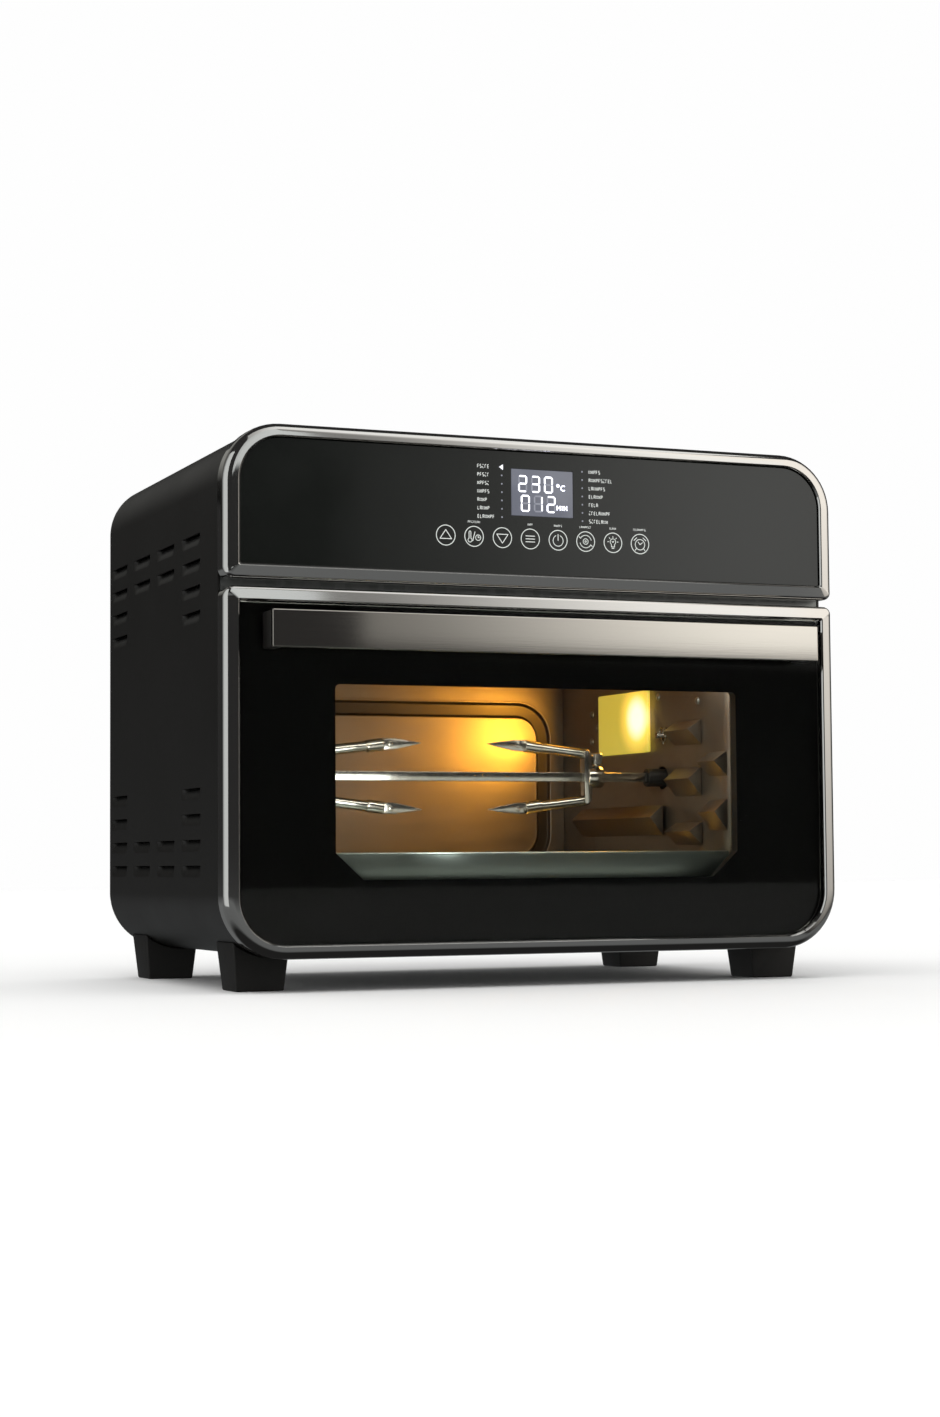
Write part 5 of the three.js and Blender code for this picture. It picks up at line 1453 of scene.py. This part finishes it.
class OVEN_OT_fans(bpy.types.Operator):
    """Perforated fan guard, fan wheels, shaft, pan and motor"""

    bl_idname = "oven.fans"
    bl_label = "Fans"

    def execute(self, context):
        self.guard(context)
        softened(context, "hot_air_fan", "zinc", 0.2)
        softened(context, "cooling_fan", "plastic", 0.2)
        softened(context, "fan_housing", "galvanised", 0.3)
        softened(context, "fan_motor", "zinc", 0.4)
        dress(context, ["fan_shaft"], "zinc")
        return {"FINISHED"}

    @staticmethod
    def guard(context):
        """A shallow dish with three rings of round holes."""
        low, high = NODES["fan_guard"]
        centre = (low + high) / 2
        outer, gauge, axle = (high.x - low.x) / 2, 0.8 * MM, 0.2 * MM
        corner = 2.5 * MM
        profile = [(axle, low.z)] + arc(corner, -90, 0, (outer - corner, low.z + corner), 5)
        profile += [(outer, high.z), (outer - gauge, high.z), (outer - gauge, low.z + corner)]
        profile += [(outer - corner, low.z + gauge), (axle, low.z + gauge)]
        mesh = turned_mesh("guard", profile, (0, centre.y, 0), (0, 0, 1), 96)
        guard = place_mesh(context, "guard_dish", mesh, "zinc", "chassis", "fan_guard")
        holes = []
        punch = [(6.2 * MM, -2 * MM), (6.2 * MM, 2 * MM)]
        for share, count in ((0.295, 6), (0.557, 11), (0.818, 16)):
            for x, y in dot(share * outer, (0, centre.y), count):
                holes.append(turned_mesh("hole", punch, (x, y, low.z), (0, 0, 1), 24))
        carve(guard, [joined(holes, "holes")])


class OVEN_OT_hinges(bpy.types.Operator):
    """Door hinges, pins and the two curved door arms"""

    bl_idname = "oven.hinges"
    bl_label = "Hinges and Arms"

    def execute(self, context):
        for side in ("left", "right"):
            softened(context, f"hinge_leaf_{side}", "zinc", 0.3)
            softened(context, f"hinge_bracket_{side}", "galvanised", 0.3)
            softened(context, f"hinge_pin_{side}", "zinc", 0.3)
            self.arm(context, side)
        return {"FINISHED"}

    @staticmethod
    def arm(context, side):
        """Curved arm that slides through the chassis plate, with its welded tab."""
        node, name = f"door_arm_{side}", f"door_arm_{side}_bent"
        low, high = NODES[node]
        middle_x, half = (low.x + high.x) / 2, 0.75 * MM
        hinge = front_to_back(HINGE_BACK), HINGE_UP
        outer, inner = [arc(radius * MM, 92, 4, hinge, 60) for radius in (62, 58)]
        strip = closed_mesh("arm", [
            [Vector((middle_x - half, oy, oz)), Vector((middle_x + half, oy, oz)),
             Vector((middle_x + half, iy, iz)), Vector((middle_x - half, iy, iz))]
            for (oy, oz), (iy, iz) in zip(outer, inner)])
        leaf, foot, top = front_to_back(13.3), HINGE_UP + 53 * MM, HINGE_UP + 67 * MM
        tab = block_mesh("tab", (middle_x - 4 * MM, leaf, foot), (middle_x + 4 * MM, leaf + SHEET, top))
        arm = place_mesh(context, name, joined([strip, tab], name), "zinc", "door", node)
        bevelled(arm, 0.2 * MM, 2)


def screw_unit():
    """A cross-recessed pan-head screw, facing +X, as a head on its seat."""
    profile = [
        (0.2, 1.75), (1.4, 1.7), (2.4, 1.35), (2.95, 0.75), (3.1, 0.1), (3.1, 0.0), (1.4, -0.6), (0.2, -0.6)]
    head = turned_mesh("screw", [(r * MM, along * MM) for r, along in profile], (0, 0, 0), (1, 0, 0), 28)
    shape = [(-0.45, -1.9), (0.45, -1.9), (0.45, -0.45), (1.9, -0.45), (1.9, 0.45), (0.45, 0.45), (0.45, 1.9),
             (-0.45, 1.9), (-0.45, 0.45), (-1.9, 0.45), (-1.9, -0.45), (-0.45, -0.45)]
    cross = prism("cross", [(a * MM, b * MM) for a, b in shape], X, 0.9 * MM, 3 * MM)
    body = bpy.data.objects.new("screw", head)
    bpy.context.scene.collection.objects.link(body)
    carve(body, [cross])
    mesh = body.data
    bpy.data.objects.remove(body)
    return mesh


def liner_wall(y):
    """Half width of the drafted oven liner at a depth behind the glass, in millimetres."""
    return (MOUTH_HALF - LINER_DRAFT * (y - 16.8) / 238.2) / MM


class OVEN_OT_screws(bpy.types.Operator):
    """Screws in the liner and the rear cover"""

    bl_idname = "oven.screws"
    bl_label = "Screws"

    def execute(self, context):
        inside = [(111.6, 186.4), (58.8, 180.4), (209, 179.7), (200, 170), (209.4, 160.5)]
        places = []
        for side, spots in ((1, inside), (-1, inside[:3])):
            places += [
                ((side * liner_wall(y) * MM, front_to_back(y), z * MM), (-side, 0, 0)) for y, z in spots]
        repeated(
            context, "liner_screws", screw_unit(), places, "zinc", "chassis", size=0.8)
        face = span("rear_cover", Y)[0] + SHEET
        rear = [(x, z) for x in (-186, 186) for z in (60, 180, 290)] + [(-70, 38), (70, 38), (0, 322)]
        places = [((x * MM, face, z * MM), (0, 1, 0)) for x, z in rear]
        repeated(context, "rear_screws", screw_unit(), places, "zinc", "chassis")
        self.probe_clip(context)
        return {"FINISHED"}

    @staticmethod
    def probe_clip(context):
        """Bent-wire clip round the temperature probe."""
        y, z = 102.6, 160.0
        x = (liner_wall(y) - 1.6) * MM
        loop = [(0, -5.6), (2.4, -2.6), (5.0, 0.4), (5.2, 3.2), (3.2, 4.8), (1.0, 3.9), (0, 2.4),
                (-1.0, 3.9), (-3.2, 4.8), (-5.2, 3.2), (-5.0, 0.4), (-2.4, -2.6), (0, -5.6)]
        path = [(x, front_to_back(y + a), (z + b) * MM) for a, b in loop]
        mesh = tube_mesh("probe_clip", path, 0.8 * MM, 10)
        place_mesh(context, "probe_clip", mesh, "rod", "chassis", sharp=60)
        softened(context, "temperature_probe", "rod", 0.3)


class OVEN_OT_electrics(bpy.types.Operator):
    """Boards, cut-out and door switch inside the housing"""

    bl_idname = "oven.electrics"
    bl_label = "Electrics"

    def execute(self, context):
        for node, key, slot_name in (
                ("touch_board", "board", "circuit_board"), ("power_board", "board", "circuit_board"),
                ("thermal_cutout", "ceramic", "ceramic"), ("door_switch", "plastic", "black_plastic"),
                ("switch_plunger", "ceramic", "ceramic")):
            softened(context, node, key, 0.2)
        return {"FINISHED"}


# --------------------------------------------------------------------- the stage

def area_light(name, place, aim, size, power, tint, glossy=True):
    """A soft panel of light that faces a point."""
    data = bpy.data.lights.new(name, "AREA")
    data.shape = "RECTANGLE"
    data.size, data.size_y = size
    data.energy = power
    data.color = tint
    light = bpy.data.objects.new(name, data)
    light.location = place
    light.rotation_mode = "QUATERNION"
    light.rotation_quaternion = (Vector(aim) - Vector(place)).to_track_quat("-Z", "Y")
    light.visible_glossy = glossy
    light.visible_camera = light.visible_transmission = False
    bpy.context.scene.collection.objects.link(light)
    return light


def upright(start, end, low, high):
    """Corners of an upright panel over a line on the floor, between two heights."""
    return [(*start, low), (*end, low), (*end, high), (*start, high)]


def glow_panel(name, corners, code, strengths, reach, foot):
    """A self-lit panel that only reflections see: from one brightness to another over a share
    of its width, and soft along its lower edge."""
    mesh = mesh_of(name, corners, [(0, 1, 2, 3)])
    uv = mesh.uv_layers.new(name="across")
    for loop, value in zip(uv.data, ((0, 0), (1, 0), (1, 1), (0, 1))):
        loop.uv = value
    material = bpy.data.materials.new(name)
    material.use_nodes = True
    tree = material.node_tree
    tree.nodes.clear()
    place = add_node(tree, "ShaderNodeUVMap", uv_map="across")
    parts = add_node(tree, "ShaderNodeSeparateXYZ", {"Vector": place.outputs["UV"]})
    across = add_node(tree, "ShaderNodeMapRange", {
        "Value": parts.outputs["X"], "From Max": reach, "To Min": strengths[0], "To Max": strengths[1]},
        interpolation_type="SMOOTHSTEP")
    up = add_node(tree, "ShaderNodeMapRange", {"Value": parts.outputs["Y"], "From Max": foot})
    power = add_node(tree, "ShaderNodeMath", {0: across.outputs[0], 1: up.outputs[0]}, operation="MULTIPLY")
    glow = add_node(tree, "ShaderNodeEmission", {"Color": srgb(code), "Strength": power.outputs[0]})
    add_node(tree, "ShaderNodeOutputMaterial", {"Surface": glow.outputs[0]})
    mesh.materials.append(material)
    panel = bpy.data.objects.new(name, mesh)
    bpy.context.scene.collection.objects.link(panel)
    for ray in ("camera", "diffuse", "shadow", "transmission", "volume_scatter"):
        setattr(panel, f"visible_{ray}", False)
    return panel


class OVEN_OT_stage(bpy.types.Operator):
    """Pale floor, soft studio panels, the glow of the oven lamp, and the camera"""

    bl_idname = "oven.stage"
    bl_label = "Stage"

    def execute(self, context):
        self.floor(context)
        self.world(context)
        self.lights(context)
        self.camera(context)
        context.scene.view_settings.view_transform = "Standard"
        return {"FINISHED"}

    @staticmethod
    def floor(context):
        """Matt pale floor, faintly mottled, out to where the backdrop takes over."""
        reach = 6.0
        corners = [(-reach, -reach, 0), (reach, -reach, 0), (reach, reach, 0), (-reach, reach, 0)]
        mesh = mesh_of("floor", corners, [(0, 1, 2, 3)])
        material, tree, shader, place = new_finish("pale_matt_floor", srgb("#f7f7f6"), 0.7)
        shader.inputs["Specular IOR Level"].default_value = 0.1
        mottle = add_node(tree, "ShaderNodeTexNoise", {"Vector": place, "Scale": 3.0, "Detail": 3.0})
        vary_colour(tree, shader, mottle.outputs["Fac"], srgb("#f6f6f5"), srgb("#f9f9f8"))
        mesh.materials.append(material)
        floor = bpy.data.objects.new("floor", mesh)
        context.scene.collection.objects.link(floor)
        floor.visible_glossy = False

    @staticmethod
    def world(context):
        """White behind the object, even for diffuse light, and dim for reflections, less so from below."""
        world = bpy.data.worlds.new("studio")
        context.scene.world = world
        world.use_nodes = True
        tree = world.node_tree
        tree.nodes.clear()
        ray = add_node(tree, "ShaderNodeLightPath")
        look = add_node(tree, "ShaderNodeTexCoord")
        way = add_node(tree, "ShaderNodeSeparateXYZ", {"Vector": look.outputs["Generated"]})
        height = add_node(tree, "ShaderNodeMapRange", {"Value": way.outputs["Z"], "From Min": -1.0})
        floor_glow = add_node(tree, "ShaderNodeValToRGB", {"Fac": height.outputs[0]})
        stops = floor_glow.color_ramp.elements
        stops[0].position, stops[0].color = 0.16, (0.02, 0.02, 0.02, 1)
        stops[1].position, stops[1].color = 0.5, (0.03, 0.03, 0.03, 1)
        for position, grey in ((0.26, 0.15), (0.45, 0.17)):
            stops.new(position).color = (grey, 1.04 * grey, 1.05 * grey, 1)
        level = context.scene.oven_stage.even_light
        shiny, even, seen = [
            add_node(tree, "ShaderNodeBackground", {"Color": tint, "Strength": strength})
            for tint, strength in (
                (floor_glow.outputs["Color"], 1.0), (srgb("#ffffff"), level), (srgb("#fefefe"), 1.0))]
        both = add_node(tree, "ShaderNodeMixShader", {
            0: ray.outputs["Is Glossy Ray"], 1: even.outputs[0], 2: shiny.outputs[0]})
        whole = add_node(tree, "ShaderNodeMixShader", {
            0: ray.outputs["Is Camera Ray"], 1: both.outputs[0], 2: seen.outputs[0]})
        add_node(tree, "ShaderNodeOutputWorld", {"Surface": whole.outputs[0]})

    @staticmethod
    def lights(context):
        """Overhead sun, reflection panels, and the lamp inside the oven."""
        stage = context.scene.oven_stage
        overhead = bpy.data.lights.new("overhead", "SUN")
        overhead.energy = stage.top_light
        overhead.angle = math.radians(50)
        sun = bpy.data.objects.new("overhead", overhead)
        sun.rotation_euler = (math.radians(12), math.radians(-10), 0)
        sun.visible_glossy = False
        context.scene.collection.objects.link(sun)
        full = stage.panel_light
        # What the handle, the top members and the control glass mirror.
        glow_panel(
            "front_panel", upright((0.415, -1.62), (1.12, -1.62), 0.325, 2.4),
            "#fdfcf8", (0.2 * full, full), 0.85, 0.01)
        # What the right-hand members mirror, down to the floor.
        glow_panel(
            "right_panel", upright((2.5, 0.3), (1.12, -1.62), -0.4, 2.4),
            "#fffaf2", (0.35 * full, full), 0.5, 0.35)
        # What the left half of the top members mirrors.
        glow_panel(
            "high_panel", upright((-0.8, -1.66), (0.45, -1.66), 0.62, 2.4),
            "#f6fbfb", (0.5 * full, 0.65 * full), 1.0, 0.05)
        glow_panel(
            "over_panel", [(-0.9, -1.66, 2.4), (1.3, -1.66, 2.4), (1.3, -0.2, 2.4), (-0.9, -0.2, 2.4)],
            "#fbfcfa", (0.4 * full, 0.9 * full), 0.8, 0.01)
        # What the rounded left-hand edges mirror.
        glow_panel(
            "left_panel", upright((-1.8, 1.2), (-1.55, -0.8), -0.3, 1.8),
            "#f6fafa", (0.1, 0.6 * full), 0.6, 0.01)
        # What the left side and its louvres mirror.
        glow_panel(
            "rear_panel", upright((-2.6, 1.7), (-0.15, 2.0), 0.6, 2.6),
            "#fafaf4", (0.1, 0.22 * full), 1.0, 0.2)
        low, high = NODES["lamp_cover"]
        middle = (low + high) / 2
        area_light(
            "lamp_glow", (low.x - 0.003, middle.y, middle.z), (0, middle.y, middle.z), (0.05, 0.03),
            stage.lamp_power, context.scene.oven_colours.lamp[:3])
        area_light(
            "mouth_fill", (0.0, front_to_back(26), 0.212), (0.0, front_to_back(30), 0.10), (0.26, 0.016),
            1.6 * stage.oven_fill, (1.0, 0.97, 0.92))
        area_light(
            "low_fill", (-0.085, front_to_back(20), 0.115), (-0.02, front_to_back(255), 0.105), (0.07, 0.05),
            stage.oven_fill, (0.93, 0.97, 1.0))

    @staticmethod
    def camera(context):
        """Camera low in front of the oven and to its left, with its axes."""
        right = Vector((0.9233876, -0.38378989, -0.00778847))
        down = Vector((0.01650863, 0.05997356, -0.99806344))
        ahead = Vector((0.38351377, 0.92147083, 0.06171469))
        place = Vector((-0.628588, -1.514820, 0.075615))
        turn = Matrix((right, -down, -ahead)).transposed().to_4x4()
        data = bpy.data.cameras.new("camera")
        data.lens = context.scene.oven_stage.lens
        data.sensor_width = 36.0
        data.sensor_fit = "AUTO"
        data.clip_start, data.clip_end = 0.05, 50
        camera = bpy.data.objects.new("camera", data)
        camera.matrix_world = Matrix.Translation(place) @ turn
        context.scene.collection.objects.link(camera)
        context.scene.camera = camera


STEPS = (
    OVEN_OT_stage, OVEN_OT_frames, OVEN_OT_panes, OVEN_OT_marks, OVEN_OT_display, OVEN_OT_handle,
    OVEN_OT_housing, OVEN_OT_liner, OVEN_OT_tray, OVEN_OT_rotisserie, OVEN_OT_lamp, OVEN_OT_heaters,
    OVEN_OT_fans, OVEN_OT_hinges, OVEN_OT_screws, OVEN_OT_electrics,
)


class OVEN_PT_panel(bpy.types.Panel):
    """Settings and steps of the oven, in the sidebar."""

    bl_label = "Toaster Oven"
    bl_idname = "OVEN_PT_panel"
    bl_space_type = "VIEW_3D"
    bl_region_type = "UI"
    bl_category = "Oven"

    def draw(self, context):
        layout = self.layout
        for settings in (context.scene.oven_colours, context.scene.oven_sizes, context.scene.oven_stage):
            for name in settings.bl_rna.properties.keys():
                if name not in ("rna_type", "name"):
                    layout.prop(settings, name)
        for step in STEPS:
            layout.operator(step.bl_idname)


CLASSES = (OvenColours, OvenSizes, StageSettings, *STEPS, OVEN_PT_panel)


def register():
    for item in CLASSES:
        bpy.utils.register_class(item)
    bpy.types.Scene.oven_colours = PointerProperty(type=OvenColours)
    bpy.types.Scene.oven_sizes = PointerProperty(type=OvenSizes)
    bpy.types.Scene.oven_stage = PointerProperty(type=StageSettings)


def unregister():
    for name in ("oven_colours", "oven_sizes", "oven_stage"):
        delattr(bpy.types.Scene, name)
    for item in reversed(CLASSES):
        bpy.utils.unregister_class(item)


def main():
    """Registers the add-on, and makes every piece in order."""
    register()
    for step in STEPS:
        group, name = step.bl_idname.split(".")
        getattr(getattr(bpy.ops, group), name)()


if __name__ == "__main__":
    main()
